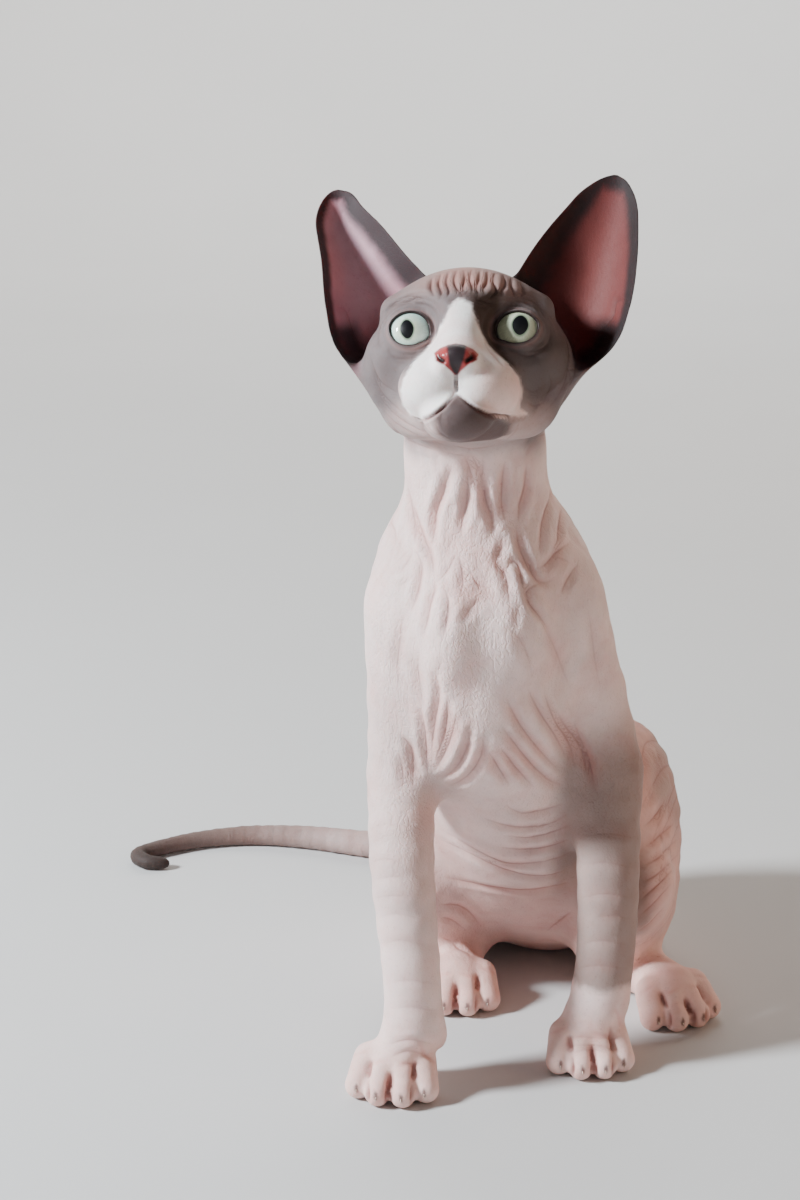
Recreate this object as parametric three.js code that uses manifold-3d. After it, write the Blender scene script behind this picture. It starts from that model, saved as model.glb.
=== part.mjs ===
// A sphynx kitten that sits upright on its haunches and looks up, life size, as one still model.
// Millimetres, +Z up. The kitten faces -Y, its left side is at +X, and it sits on the plane z = 0.
// The body is worked out as one smooth field: a function of a point in space that is negative
// inside the flesh, zero at the skin and positive outside. Every part of the body is a piece of
// that one field, polygonised in steps that suit it, and parted from its neighbours by thin cuts.

import * as THREE from 'three';
import Module from 'manifold-3d';

const wasm = await Module();
wasm.setup();

// Driving dimensions

const GAP = 0.3;                      // clearance between neighbouring parts
const SHORTEST_EDGE = 0.12;
const PINCH_REACH = 0.002;
const PINCH_DRAW = 0.05;
const CUT_SIZE = 700;                 // side of the blocks that make the parting cuts

// Head frame: x to the kitten's left, y to the back of the head, z up, origin between the eyes
const HEAD_ORIGIN = [17.8, 2.0, 242.6];
const HEAD_LOOKS_UP = 29;             // degrees above the horizontal
const HEAD_TURNS = 8;                 // degrees to the kitten's right
const HEAD_TILTS = 2;                 // degrees, left eye higher
const EYE_SPACING = 30;
const EYE_DROP = 0.8;                 // below the origin of the head frame
const EYE_RADIUS = 8.5;
const EYE_DEPTH = 5.5;                // centre of the eyeball behind the plane of the lids
const EYE_OPENING = [5.9, 5.2];       // half width and half height
const EYE_TURNS_OUT = 12;             // degrees
const LID_THICKNESS = 0.7;
const EAR_THICKNESS = 1.8;
const EAR_RIM_THICKNESS = 1.1;
const MOUTH_GROOVE = 1.1;
const NOSTRIL = [1.4, 2.4, 1.1];
const NOSTRIL_PLACE = [3.9, -20.6, -16.8];

// Rear frame: x to the kitten's left, y to the front, origin on the floor between the haunches
const REAR_ORIGIN = [48, 110];
const REAR_TURNS = 12;                // degrees, rump to the kitten's left of the chest
const RUMP_RADIUS = 38;

// Steps of the polygons, finer where the forms are small
const STEP = {
  head: 4.8,
  face: 2.8,
  neck: 6.5,
  trunk: 8.6,
  leg: 5.8,
  forepaw: 3.3,
  hindFoot: 4.3,
  thigh: 7.4,
};

const FLESH = { color: 0xd9b3a8, roughness: 0.72, metalness: 0 };
const MASK = { color: 0x7d716e, roughness: 0.72, metalness: 0 };
const DARK_SKIN = { color: 0x3b3230, roughness: 0.7, metalness: 0 };
const IRIS = { color: 0xbfd9cf, roughness: 0.08, metalness: 0 };

// Vectors as plain arrays of three

const add = (a, b) => [a[0] + b[0], a[1] + b[1], a[2] + b[2]];
const sub = (a, b) => [a[0] - b[0], a[1] - b[1], a[2] - b[2]];
const scale = (a, s) => [a[0] * s, a[1] * s, a[2] * s];
const dot = (a, b) => a[0] * b[0] + a[1] * b[1] + a[2] * b[2];
const cross = (a, b) => [
  a[1] * b[2] - a[2] * b[1],
  a[2] * b[0] - a[0] * b[2],
  a[0] * b[1] - a[1] * b[0],
];
const unit = (a) => scale(a, 1 / Math.hypot(...a));
const mix = (a, b, t) => a + (b - a) * t;
const radians = THREE.MathUtils.degToRad;

// A frame is three unit axes and an origin; out() leaves it for the world and into() enters it
function frameOf(origin, euler) {
  const turn = new THREE.Matrix4().makeRotationFromEuler(euler);
  const axes = [0, 1, 2].map((i) => new THREE.Vector3().setFromMatrixColumn(turn, i).toArray());
  const turned = (p) => add(add(scale(axes[0], p[0]), scale(axes[1], p[1])), scale(axes[2], p[2]));
  return {
    out: (p) => add(origin, turned(p)),
    into: (p) => axes.map((axis) => dot(axis, sub(p, origin))),
    turned,
  };
}

const headFrame = frameOf(
  HEAD_ORIGIN,
  new THREE.Euler(radians(-HEAD_LOOKS_UP), radians(-HEAD_TILTS), radians(-HEAD_TURNS), 'ZXY'),
);

function rear(left, forward, height) {
  const c = Math.cos(radians(REAR_TURNS));
  const s = Math.sin(radians(REAR_TURNS));
  return [
    REAR_ORIGIN[0] + left * c - forward * s,
    REAR_ORIGIN[1] - left * s - forward * c,
    height,
  ];
}

// Fields

function ball(centre, radii, turnZ = 0, turnX = 0) {
  const cz = Math.cos(radians(turnZ));
  const sz = Math.sin(radians(turnZ));
  const cx = Math.cos(radians(turnX));
  const sx = Math.sin(radians(turnX));
  return (p) => {
    const dx = p[0] - centre[0];
    const dy = p[1] - centre[1];
    const dz = p[2] - centre[2];
    const x = dx * cz + dy * sz;
    const across = dy * cz - dx * sz;
    const y = across * cx + dz * sx;
    const z = dz * cx - across * sx;
    const near = Math.hypot(x / radii[0], y / radii[1], z / radii[2]);
    const steep = Math.hypot(x / radii[0] ** 2, y / radii[1] ** 2, z / radii[2] ** 2);
    return steep < 1e-9 ? -Math.min(...radii) : (near * (near - 1)) / steep;
  };
}

// A tapered rod; an eased one is level at both ends, like a neck that flows into its shoulders
function limb(from, to, fromRadius, toRadius, eased = false) {
  const along = sub(to, from);
  const length2 = dot(along, along);
  return (p) => {
    const offset = sub(p, from);
    const t = Math.min(1, Math.max(0, dot(offset, along) / length2));
    const share = eased ? THREE.MathUtils.smoothstep(t, 0, 1) : t;
    return Math.hypot(...sub(offset, scale(along, t))) - mix(fromRadius, toRadius, share);
  };
}

function softMin(a, b, blend) {
  const h = Math.max(blend - Math.abs(a - b), 0) / blend;
  return Math.min(a, b) - (h * h * blend) / 4;
}

function flesh(blend, ...forms) {
  return (p) => {
    let value = forms[0](p);
    for (let i = 1; i < forms.length; i += 1) value = softMin(value, forms[i](p), blend);
    return value;
  };
}

// A limb without knots: short tapered rods, end to end along a smooth curve
function bentLimb(joints, pieces, blend) {
  const line = new THREE.CatmullRomCurve3(joints.map(([p]) => new THREE.Vector3(...p)));
  const radiusAt = (t) => {
    const place = t * (joints.length - 1);
    const i = Math.min(Math.floor(place), joints.length - 2);
    return mix(joints[i][1], joints[i + 1][1], place - i);
  };
  const rods = [];
  for (let i = 0; i < pieces; i += 1) {
    const [from, to] = [i / pieces, (i + 1) / pieces];
    const ends = [from, to].map((t) => line.getPoint(t).toArray());
    rods.push(limb(...ends, radiusAt(from), radiusAt(to)));
  }
  return flesh(blend, ...rods);
}

// Trunk: neck, chest, ribs, belly and rump along a line that leans back from the chest

const NECK_ROOT = [22.5, 41, 200];
const trunk = flesh(
  16,
  limb([29, 66, 146], [48, 122, 54], 33, 37),
  ball([26, 41, 137.5], [26.5, 29.5, 43], 0, 8),
  limb([27, 47, 116], [37, 80, 78], 21, 26),
  ball(rear(0, -22, 42), [40, RUMP_RADIUS, 44], -REAR_TURNS),
  ball([41, 92, 62], [37, 30, 46], -REAR_TURNS, 28),
  limb([23.8, 50, 160], NECK_ROOT, 30.5, 18, true),
  limb(NECK_ROOT, [22, 40, 214], 18, 17.5),
  ball([17, 76, 170], [9, 14, 12]),
  ball([38, 78, 170], [9, 14, 12]),
);
const breast = [
  ball([16, 19, 150], [9, 11, 15]),
  ball([33, 20, 150], [9, 11, 15]),
];

// Forelegs: shoulder, elbow and wrist, each a point and the radius of the limb there

const FORELEG = {
  right: [
    [[4, 38, 150], 14.5],
    [[1, 46, 100], 11],
    [[0.6, 31, 72], 10.2],
    [[3.6, 21, 38], 9],
    [[4.4, 19, 22], 8.8],
  ],
  left: [
    [[48.5, 43, 151], 14],
    [[64.5, 57, 98], 11.5],
    [[66.4, 45, 62], 10],
    [[65.6, 39, 36], 9.2],
    [[64, 37, 21], 9],
  ],
};
const FOREPAW = {
  right: { at: [-1.8, 15, 0], heading: 8, spread: 1 },
  left: { at: [60.3, 33, 0], heading: -4, spread: 0.95 },
};

// A paw: four toes that fan from the knuckles, the pad behind them and the heel of the foot
const TOES = [-10.6, -3.9, 3.9, 10.6];
const TOE_REACH = [-9.5, -13.6, -13.6, -9.5];
const TOE_RADIUS = 4.5;
const KNUCKLE = { radius: 5, height: 10.5, back: 1.5 };

function paw({ at, heading, spread }, back) {
  const turn = radians(heading);
  const place = (x, y, z) => [
    at[0] + x * Math.cos(turn) + y * Math.sin(turn),
    at[1] - x * Math.sin(turn) + y * Math.cos(turn),
    z,
  ];
  const toes = TOES.map((x, i) => limb(
    place(x * spread, TOE_REACH[i] + TOE_RADIUS, TOE_RADIUS - 0.3),
    place(x * spread * 0.78, KNUCKLE.back, KNUCKLE.height),
    TOE_RADIUS,
    KNUCKLE.radius,
  ));
  const pad = ball(place(0, 1, 5.4), [11.5 * spread, 9, 6.4], -heading);
  const top = ball(place(0, 4.5, 8.6), [10.5 * spread, 6.5, 5.6], -heading);
  const heel = limb(place(0, 2, 10), back, 8.4, 8.6);
  return [flesh(2.2, ...toes), flesh(4, pad, heel, top)];
}

const LEG_PIECES = 8;
const forelegs = {
  right: flesh(8, bentLimb(FORELEG.right, LEG_PIECES, 1.5), ball([1.5, 50, 92], [9, 9, 12])),
  left: flesh(8, bentLimb(FORELEG.left, LEG_PIECES, 1.5), ball([66.5, 59, 90], [9.5, 9, 12])),
};
const forepaws = {
  right: flesh(3.5, ...paw(FOREPAW.right, FORELEG.right[4][0]), ball([12, 20, 17], [3, 4, 4.5])),
  left: flesh(3.5, ...paw(FOREPAW.left, FORELEG.left[4][0]), ball([55, 36, 15], [3, 4, 5])),
};

// Hind legs: thigh, knee and hock, folded, with the foot flat on the floor

const HIND_LEG = {
  left: {
    thigh: ball(rear(28.4, -2, 44), [21.5, 37, 46], -REAR_TURNS, -18),
    knee: [rear(36, 30, 44), 14],
    hock: [rear(26, -27, 11.5), 8.5],
    foot: { at: [91.5, 67, 0], heading: -24, spread: 1.02 },
    instep: [83, 86, 9],
  },
  right: {
    thigh: ball(rear(-28, -2, 44), [21, 37, 46], -REAR_TURNS, -18),
    knee: [rear(-35, 30, 44), 14],
    hock: [rear(-25, -27, 11.5), 8.5],
    foot: { at: [19.5, 78, 0], heading: 4, spread: 1 },
    instep: [20, 97, 9],
  },
};

function hindLeg({ thigh, knee, hock }) {
  return flesh(12, thigh, limb(knee[0], hock[0], knee[1], hock[1]));
}
function hindFoot({ foot, hock, instep }) {
  return flesh(3.5, ...paw(foot, instep), limb(instep, hock[0], 8.4, hock[1]));
}
const hindLegs = { left: hindLeg(HIND_LEG.left), right: hindLeg(HIND_LEG.right) };
const hindFeet = { left: hindFoot(HIND_LEG.left), right: hindFoot(HIND_LEG.right) };

// Tail: laid on the floor round the kitten's right side, its tip curled back

const TAIL_PATH = [
  [49, 152, 22], [51, 171, 10], [38, 190, 6.1], [12, 203, 5.4], [-14, 210, 5], [-36, 218, 4.5],
  [-58, 222, 3.9], [-78, 219, 3.4], [-94, 211, 3.1], [-103, 203, 2.9], [-99, 196.5, 2.8], [-92, 196, 2.4],
];
const TAIL_RADIUS = [9, 7.4, 6.5, 5.8, 5.4, 4.8, 4.2, 3.7, 3.4, 3.2, 3, 2.6];
const tail = bentLimb(TAIL_PATH.map((point, i) => [point, TAIL_RADIUS[i]]), 22, 2);

// Head, in its own frame; x is folded so that both sides are alike

const eyeCentre = (side) => [side * EYE_SPACING / 2, EYE_DEPTH, -EYE_DROP];
const headForms = flesh(
  7,
  ball([0, 23, -2], [28.5, 29, 23]),
  ball([0, 8, 6.5], [20, 14.5, 13.5]),
  ball([20, 13, -5.5], [9.3, 13, 9]),
  limb([0, 3, 3], [0, -12.3, -13.2], 8.5, 6.7),
  limb([0, -2, -25.5], [15.6, 19.5, -16], 8.5, 9.6),
  ball([8, -7.6, -19.8], [9, 10.4, 8.6], -24, 8),
);
const chin = ball([0, -9.5, -29.5], [9.6, 8.2, 6.2]);
const nose = flesh(
  2.5,
  ball([0, -18, -15.4], [4.4, 4.4, 3.9], 0, -20),
  ball([3.6, -17.6, -16.6], [2.7, 3.6, 2.9]),
);
const lids = ball(eyeCentre(1), Array(3).fill(EYE_RADIUS + GAP + LID_THICKNESS));
const brow = limb([9, 4, 9.5], [21, 7, 8.5], 4, 3.4);
const skull = (q) => {
  const p = [Math.abs(q[0]), q[1], q[2]];
  const face = softMin(softMin(headForms(p), chin(p), 2.5), nose(p), 2);
  return softMin(softMin(face, brow(p), 5), lids(p), 2);
};
const head = (p) => skull(headFrame.into(p));

// The whole skin

const BODY_FORMS = [
  [trunk, 16], [breast[0], 8], [breast[1], 8],
  [forelegs.right, 10], [forelegs.left, 10], [forepaws.right, 4], [forepaws.left, 4],
  [hindLegs.right, 8], [hindLegs.left, 8], [hindFeet.right, 4], [hindFeet.left, 4],
  [tail, 9], [head, 12],
];
const body = (p) => BODY_FORMS.reduce((value, [form, blend]) => softMin(value, form(p), blend), 1e3);

// Polygons: a grid of samples, one corner in each cell that the skin crosses, drawn onto the skin

function slope(field, p) {
  const h = 0.05;
  const at = (i, s) => field(p.map((value, j) => (j === i ? value + s * h : value)));
  return [0, 1, 2].map((i) => (at(i, 1) - at(i, -1)) / (2 * h));
}

// Grid lines along one axis: a step apart, or the fine step between the two ends of the fine stretch
function gridLines(low, high, step, fine) {
  const lines = [low - 1.5 * step];
  while (lines[lines.length - 1] < high + step) {
    const here = lines[lines.length - 1];
    const inFine = fine && here >= fine.from - step && here < fine.to;
    lines.push(here + (inFine ? fine.step : step));
  }
  return lines;
}

function polygonise(skinField, low, high, step, fine = []) {
  const boxed = (p) => Math.max(skinField(p), ...p.map((v, i) => Math.max(low[i] - v, v - high[i])));
  const lines = low.map((v, i) => gridLines(v, high[i], step, fine[i]));
  const count = lines.map((line) => line.length);
  const index = (i, j, k) => i + count[0] * (j + count[1] * k);
  const at = (i, j, k) => [lines[0][i], lines[1][j], lines[2][k]];
  const value = new Float64Array(count[0] * count[1] * count[2]);
  for (let k = 0; k < count[2]; k += 1) {
    for (let j = 0; j < count[1]; j += 1) {
      for (let i = 0; i < count[0]; i += 1) value[index(i, j, k)] = boxed(at(i, j, k));
    }
  }
  const corners = new Map();
  const points = [];
  const corner = (i, j, k) => {
    const key = index(i, j, k);
    if (corners.has(key)) return corners.get(key);
    const crossings = [];
    for (let axis = 0; axis < 3; axis += 1) {
      for (let side = 0; side < 4; side += 1) {
        const start = [i, j, k];
        start[(axis + 1) % 3] += side % 2;
        start[(axis + 2) % 3] += side >> 1;
        const end = [...start];
        end[axis] += 1;
        const a = value[index(...start)];
        const b = value[index(...end)];
        if (a < 0 !== b < 0) {
          const crossing = at(...start);
          crossing[axis] += ((at(...end)[axis] - crossing[axis]) * a) / (a - b);
          crossings.push(crossing);
        }
      }
    }
    let p = scale(crossings.reduce(add), 1 / crossings.length);
    const reach = 0.3 * (lines[0][i + 1] - lines[0][i]);
    for (let pass = 0; pass < 4; pass += 1) {
      const gradient = slope(boxed, p);
      const move = -boxed(p) / Math.max(dot(gradient, gradient), 0.2);
      p = add(p, scale(gradient, Math.max(-reach, Math.min(reach, move))));
    }
    corners.set(key, points.length);
    points.push(p);
    return points.length - 1;
  };
  const triangles = [];
  for (let k = 1; k < count[2] - 1; k += 1) {
    for (let j = 1; j < count[1] - 1; j += 1) {
      for (let i = 1; i < count[0] - 1; i += 1) {
        const here = [i, j, k];
        const inside = value[index(i, j, k)] < 0;
        for (let axis = 0; axis < 3; axis += 1) {
          const next = [...here];
          next[axis] += 1;
          if (inside === value[index(...next)] < 0) continue;
          const ring = [[0, 0], [1, 0], [1, 1], [0, 1]].map(([u, v]) => {
            const cell = [...here];
            cell[(axis + 1) % 3] -= u;
            cell[(axis + 2) % 3] -= v;
            return corner(...cell);
          });
          if (!inside) ring.reverse();
          const [a, b, c, d] = ring;
          const even = Math.hypot(...sub(points[a], points[c])) <= Math.hypot(...sub(points[b], points[d]));
          triangles.push(...(even ? [a, b, c, a, c, d] : [b, c, d, b, d, a]));
        }
      }
    }
  }
  return solid(points, triangles);
}

// Solids

function solid(points, triangles) {
  return new wasm.Manifold(new wasm.Mesh({
    numProp: 3,
    vertProperties: new Float32Array(points.flat()),
    triVerts: new Uint32Array(triangles),
  }));
}

function solidOf(geometry, placed) {
  const position = geometry.attributes.position;
  const merged = new Map();
  const points = [];
  const place = [];
  for (let i = 0; i < position.count; i += 1) {
    const p = [position.getX(i), position.getY(i), position.getZ(i)];
    const key = p.map((v) => Math.round(v * 1e4)).join();
    if (!merged.has(key)) {
      merged.set(key, points.length);
      points.push(placed(p));
    }
    place.push(merged.get(key));
  }
  const order = geometry.index ? Array.from(geometry.index.array) : place.map((_, i) => i);
  const triangles = [];
  for (let i = 0; i < order.length; i += 3) {
    const [a, b, c] = [place[order[i]], place[order[i + 1]], place[order[i + 2]]];
    if (a !== b && b !== c && c !== a) triangles.push(a, b, c);
  }
  return solid(points, triangles);
}

function largest(shape) {
  return shape.decompose().reduce((a, b) => (a.volume() >= b.volume() ? a : b));
}

// Draws the ends of each very short edge together, where that keeps the skin closed
function withoutShortEdges(mesh) {
  const points = [];
  for (let i = 0; i < mesh.vertProperties.length; i += 3) {
    points.push(Array.from(mesh.vertProperties.slice(i, i + 3)));
  }
  let faces = [];
  for (let i = 0; i < mesh.triVerts.length; i += 3) faces.push(Array.from(mesh.triVerts.slice(i, i + 3)));
  for (let changed = true; changed;) {
    changed = false;
    const neighbours = points.map(() => new Set());
    faces.forEach((face) => face.forEach((a) => face.forEach((b) => a !== b && neighbours[a].add(b))));
    const moved = new Set();
    const into = new Map();
    for (const face of faces) {
      for (let i = 0; i < 3; i += 1) {
        const [a, b] = [face[i], face[(i + 1) % 3]];
        const near = Math.hypot(...sub(points[a], points[b])) < SHORTEST_EDGE;
        const shared = [...neighbours[a]].filter((c) => neighbours[b].has(c));
        const around = [...neighbours[a], ...neighbours[b]];
        if (!near || shared.length !== 2 || around.some((c) => moved.has(c))) continue;
        around.forEach((c) => moved.add(c));
        into.set(b, a);
      }
    }
    if (into.size > 0) {
      changed = true;
      faces = faces.map((face) => face.map((a) => (into.has(a) ? into.get(a) : a)))
        .filter(([a, b, c]) => a !== b && b !== c && c !== a);
    }
  }
  return { points, faces };
}

// Where two folds of one skin meet in a point or an edge, draws each a little back into its own fold
function partPinches({ points, faces }) {
  const neighbours = points.map(() => new Set());
  faces.forEach((face) => face.forEach((a) => face.forEach((b) => a !== b && neighbours[a].add(b))));
  const places = new Map();
  points.forEach((p, i) => {
    const key = p.map((v) => Math.round(v / PINCH_REACH)).join();
    if (neighbours[i].size > 0) places.set(key, [...(places.get(key) || []), i]);
  });
  const drawn = [...points];
  for (const pinched of places.values()) {
    if (pinched.length < 2) continue;
    for (const i of pinched) {
      const fold = [...neighbours[i]].map((j) => points[j]);
      const middle = scale(fold.reduce(add), 1 / fold.length);
      drawn[i] = add(scale(points[i], 1 - PINCH_DRAW), scale(middle, PINCH_DRAW));
    }
  }
  return { points: drawn, faces };
}

// The half of space on the side that the normal points to, as a block whose face is the plane
function beyond(point, normal) {
  const n = unit(normal);
  const turn = new THREE.Quaternion().setFromUnitVectors(
    new THREE.Vector3(0, 0, 1),
    new THREE.Vector3(...n),
  );
  const block = new THREE.BoxGeometry(CUT_SIZE, CUT_SIZE, CUT_SIZE);
  const centre = add(point, scale(n, CUT_SIZE / 2));
  return solidOf(block, (p) => add(centre, new THREE.Vector3(...p).applyQuaternion(turn).toArray()));
}

// Keeps the side of a cut that the normal points to, half a gap clear of the plane
function keep(shape, point, normal) {
  return shape.intersect(beyond(add(point, scale(unit(normal), GAP / 2)), normal));
}

// A block between two corners in a frame that is turned about Z, grown by half a gap or shrunk by it
function blockAt(centre, size, heading, grow) {
  const grown = size.map((v) => v + grow);
  const block = new THREE.BoxGeometry(...grown);
  const turn = radians(-heading);
  return solidOf(block, (p) => [
    centre[0] + p[0] * Math.cos(turn) - p[1] * Math.sin(turn),
    centre[1] + p[0] * Math.sin(turn) + p[1] * Math.cos(turn),
    centre[2] + p[2],
  ]);
}

const floorCut = (shape) => shape.intersect(beyond([0, 0, 0], [0, 0, 1]));

// Parting planes, each a point and the direction of the part above it

const NAPE_CUT = [[22, 38, 208], [0, -0.36, 0.93]];
const COLLAR_CUT = [[24, 44, 174], [0, -0.36, 0.93]];
const WRIST_HEIGHT = 20;
const ARMPIT_HEIGHT = 103;
const TAIL_ROOT_CUT = [[47, 178, 8], [-0.62, 0.78, -0.1]];
const TAIL_HALF_CUT = [[-36, 218, 5], [-1, 0.1, 0]];
const FORELEG_BLOCK = {
  right: [[-14, 31, ARMPIT_HEIGHT / 2 - 10], [56, 80, ARMPIT_HEIGHT + 20]],
  left: [[79, 41, ARMPIT_HEIGHT / 2 - 10], [56, 80, ARMPIT_HEIGHT + 20]],
};
const FORELEG_BACK = {
  right: [[0, 60.5, 98], [0, -0.95, 0.3]],
  left: [[0, 71.5, 98], [0, -0.955, 0.28]],
};
const HIND_FOOT_HEIGHT = 17;

const parts = [];
function keepPart(name, shape, finish) {
  const { points, faces } = partPinches(withoutShortEdges(largest(shape).getMesh()));
  const geometry = new THREE.BufferGeometry();
  geometry.setAttribute('position', new THREE.Float32BufferAttribute(points.flat(), 3));
  geometry.setIndex(faces.flat());
  geometry.computeVertexNormals();
  const part = new THREE.Mesh(geometry, new THREE.MeshStandardMaterial(finish));
  part.name = name;
  parts.push(part);
}

// Head: the skin above the nape cut, with sockets, mouth line, philtrum and nostrils cut in

const HEAD_BOX = [[-24, -32, 188], [62, 72, 272]];

function eyeball(side, radius, rings) {
  const centre = headFrame.out(eyeCentre(side));
  return solidOf(new THREE.SphereGeometry(radius, rings * 2, rings), (p) => add(centre, p));
}

function eyeOpening(side) {
  const shaft = new THREE.CylinderGeometry(1, 1, 30, 20).translate(0, -15, 0);
  const turn = new THREE.Matrix4().makeRotationZ(side * radians(EYE_TURNS_OUT));
  return solidOf(shaft, (p) => {
    const q = new THREE.Vector3(p[0] * EYE_OPENING[0], p[1], p[2] * EYE_OPENING[1]);
    return headFrame.out(add(eyeCentre(side), q.applyMatrix4(turn).toArray()));
  });
}

// The mouth line and the philtrum: slim grooves swept along the face
const MOUTH_LINE = [
  [-16.5, -1.5, -28.6], [-13.5, -7, -28.4], [-8.5, -13.5, -27.2], [-3, -17.6, -25.6], [0, -18.6, -25],
  [3, -17.6, -25.6], [8.5, -13.5, -27.2], [13.5, -7, -28.4], [16.5, -1.5, -28.6],
];
const PHILTRUM = [[0, -18.4, -26], [0, -20, -23], [0, -21, -20.4]];
function groove(points, radius, steps) {
  const section = new THREE.Shape();
  for (let i = 0; i < 6; i += 1) {
    const angle = (i * Math.PI) / 3;
    const to = [radius * Math.cos(angle), radius * Math.sin(angle)];
    if (i === 0) section.moveTo(...to);
    else section.lineTo(...to);
  }
  section.closePath();
  const path = new THREE.CatmullRomCurve3(points.map((p) => new THREE.Vector3(...p)));
  const swept = new THREE.ExtrudeGeometry(section, { steps, extrudePath: path, bevelEnabled: false });
  return solidOf(swept, (p) => headFrame.out(p));
}
function nostril(side) {
  const pit = new THREE.SphereGeometry(1, 8, 6);
  return solidOf(pit, (p) => headFrame.out([
    side * NOSTRIL_PLACE[0] + p[0] * NOSTRIL[0],
    NOSTRIL_PLACE[1] + p[1] * NOSTRIL[1],
    NOSTRIL_PLACE[2] + p[2] * NOSTRIL[2],
  ]));
}

const FACE = [
  { from: -4, to: 38, step: STEP.face },
  { from: -32, to: 8, step: STEP.face },
  { from: 211, to: 250, step: STEP.face },
];
const headShape = (field) => polygonise(field, ...HEAD_BOX, STEP.head, FACE);
let headSolid = headShape(body);
headSolid = keep(headSolid, ...NAPE_CUT);
for (const side of [-1, 1]) {
  headSolid = headSolid.subtract(eyeball(side, EYE_RADIUS + GAP, 10));
  headSolid = headSolid.subtract(eyeOpening(side));
  headSolid = headSolid.subtract(nostril(side));
}
headSolid = headSolid.subtract(groove(MOUTH_LINE, MOUTH_GROOVE, 16));
headSolid = headSolid.subtract(groove(PHILTRUM, MOUTH_GROOVE * 0.6, 4));
keepPart('head', headSolid, MASK);
for (const [name, side] of [['eye_right', -1], ['eye_left', 1]]) {
  keepPart(name, eyeball(side, EYE_RADIUS, 10), IRIS);
}

// Ears: a cupped sheet between an inner and an outer edge, deep at the root and flat at the tip

const EAR = {
  right: {
    inner: [
      [8.5, 19, 13], [13, 17.5, 21.5], [19.7, 17.5, 29.4],
      [27, 19.5, 39], [35, 22.5, 48.6], [36.2, 24.3, 53.7],
    ],
    outer: [
      [26, 14, -14], [37.5, 10.5, -1.5], [40.8, 10, 10],
      [43.2, 12.5, 25.9], [46.2, 17.5, 39.5], [47.2, 24, 51.7],
    ],
  },
  left: {
    inner: [
      [8.5, 19, 13], [13, 17.5, 22], [17.5, 17.5, 30],
      [22, 19.5, 37.6], [29.5, 22.5, 48.4], [34.4, 25.4, 56.9],
    ],
    outer: [
      [27, 14, -13], [41.3, 10.5, -2], [45.8, 10, 10],
      [47.6, 12.5, 25.4], [47.6, 17.5, 41], [47.2, 24.8, 55.3],
    ],
  },
};
const EAR_CUP = [17, 15, 12.5, 9, 5, 1];
const EAR_STEPS = [14, 8];
const EAR_TIP_FROM = 0.78;            // share of the ear's length at which its edges start to close in
const EAR_TIP_CLOSES = 0.9;           // 1 would close them to a point

function earSolid(side) {
  const curve = (points) => new THREE.CatmullRomCurve3(points.map((p) => new THREE.Vector3(...p)));
  const edges = EAR[side < 0 ? 'right' : 'left'];
  const inner = curve(edges.inner);
  const outer = curve(edges.outer);
  const cup = curve(EAR_CUP.map((depth, i) => [depth, i, 0]));
  const middle = (s, t) => {
    const a = inner.getPoint(s).toArray();
    const b = outer.getPoint(s).toArray();
    const toTip = Math.max(0, (s - EAR_TIP_FROM) / (1 - EAR_TIP_FROM));
    const width = Math.sqrt(1 - EAR_TIP_CLOSES * toTip * toTip);
    const across = 0.5 + (t - 0.5) * width;
    const bend = 4 * t * (1 - t) * cup.getPoint(s).x * width;
    const p = add(scale(a, 1 - across), scale(b, across));
    return add(p, [bend * 0.25, bend, -bend * 0.12]);
  };
  const [rows, columns] = EAR_STEPS;
  const face = (way) => {
    const grid = [];
    for (let i = 0; i <= rows; i += 1) {
      for (let j = 0; j <= columns; j += 1) {
        const s = i / rows;
        const t = j / columns;
        const e = 0.004;
        const ds = sub(middle(Math.min(1, s + e), t), middle(Math.max(0, s - e), t));
        const dt = sub(middle(s, Math.min(1, t + e)), middle(s, Math.max(0, t - e)));
        const rim = Math.min(1, Math.min(t, 1 - t, 1 - s) * 4);
        const half = mix(EAR_RIM_THICKNESS, EAR_THICKNESS, rim) / 2;
        const p = add(middle(s, t), scale(unit(cross(dt, ds)), way * half));
        grid.push(headFrame.out([side * p[0], p[1], p[2]]));
      }
    }
    return grid;
  };
  const points = [...face(1), ...face(-1)];
  const back = (rows + 1) * (columns + 1);
  const at = (i, j) => i * (columns + 1) + j;
  const triangles = [];
  const quad = (a, b, c, d) => triangles.push(a, b, c, a, c, d);
  for (let i = 0; i < rows; i += 1) {
    for (let j = 0; j < columns; j += 1) {
      const [a, b, c, d] = [at(i, j), at(i, j + 1), at(i + 1, j + 1), at(i + 1, j)];
      quad(a, b, c, d);
      triangles.push(back + a, back + c, back + b, back + a, back + d, back + c);
    }
    quad(at(i + 1, 0), back + at(i + 1, 0), back + at(i, 0), at(i, 0));
    quad(at(i, columns), back + at(i, columns), back + at(i + 1, columns), at(i + 1, columns));
  }
  for (let j = 0; j < columns; j += 1) {
    quad(at(0, j), back + at(0, j), back + at(0, j + 1), at(0, j + 1));
    quad(at(rows, j + 1), back + at(rows, j + 1), back + at(rows, j), at(rows, j));
  }
  if (side < 0) {
    for (let i = 0; i < triangles.length; i += 3) {
      [triangles[i], triangles[i + 1]] = [triangles[i + 1], triangles[i]];
    }
  }
  const sheet = solid(points, triangles);
  return sheet.volume() > 0 ? sheet : solid(points, triangles.reverse());
}
const headClearance = headShape((p) => body(p) - GAP);
keepPart('ear_right', earSolid(-1).subtract(headClearance), DARK_SKIN);
keepPart('ear_left', earSolid(1).subtract(headClearance), DARK_SKIN);

// Neck and torso

let neck = polygonise(body, [-16, -4, 150], [64, 86, 232], STEP.neck);
neck = keep(keep(neck, ...COLLAR_CUT), NAPE_CUT[0], scale(NAPE_CUT[1], -1));
keepPart('neck', neck, FLESH);

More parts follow.
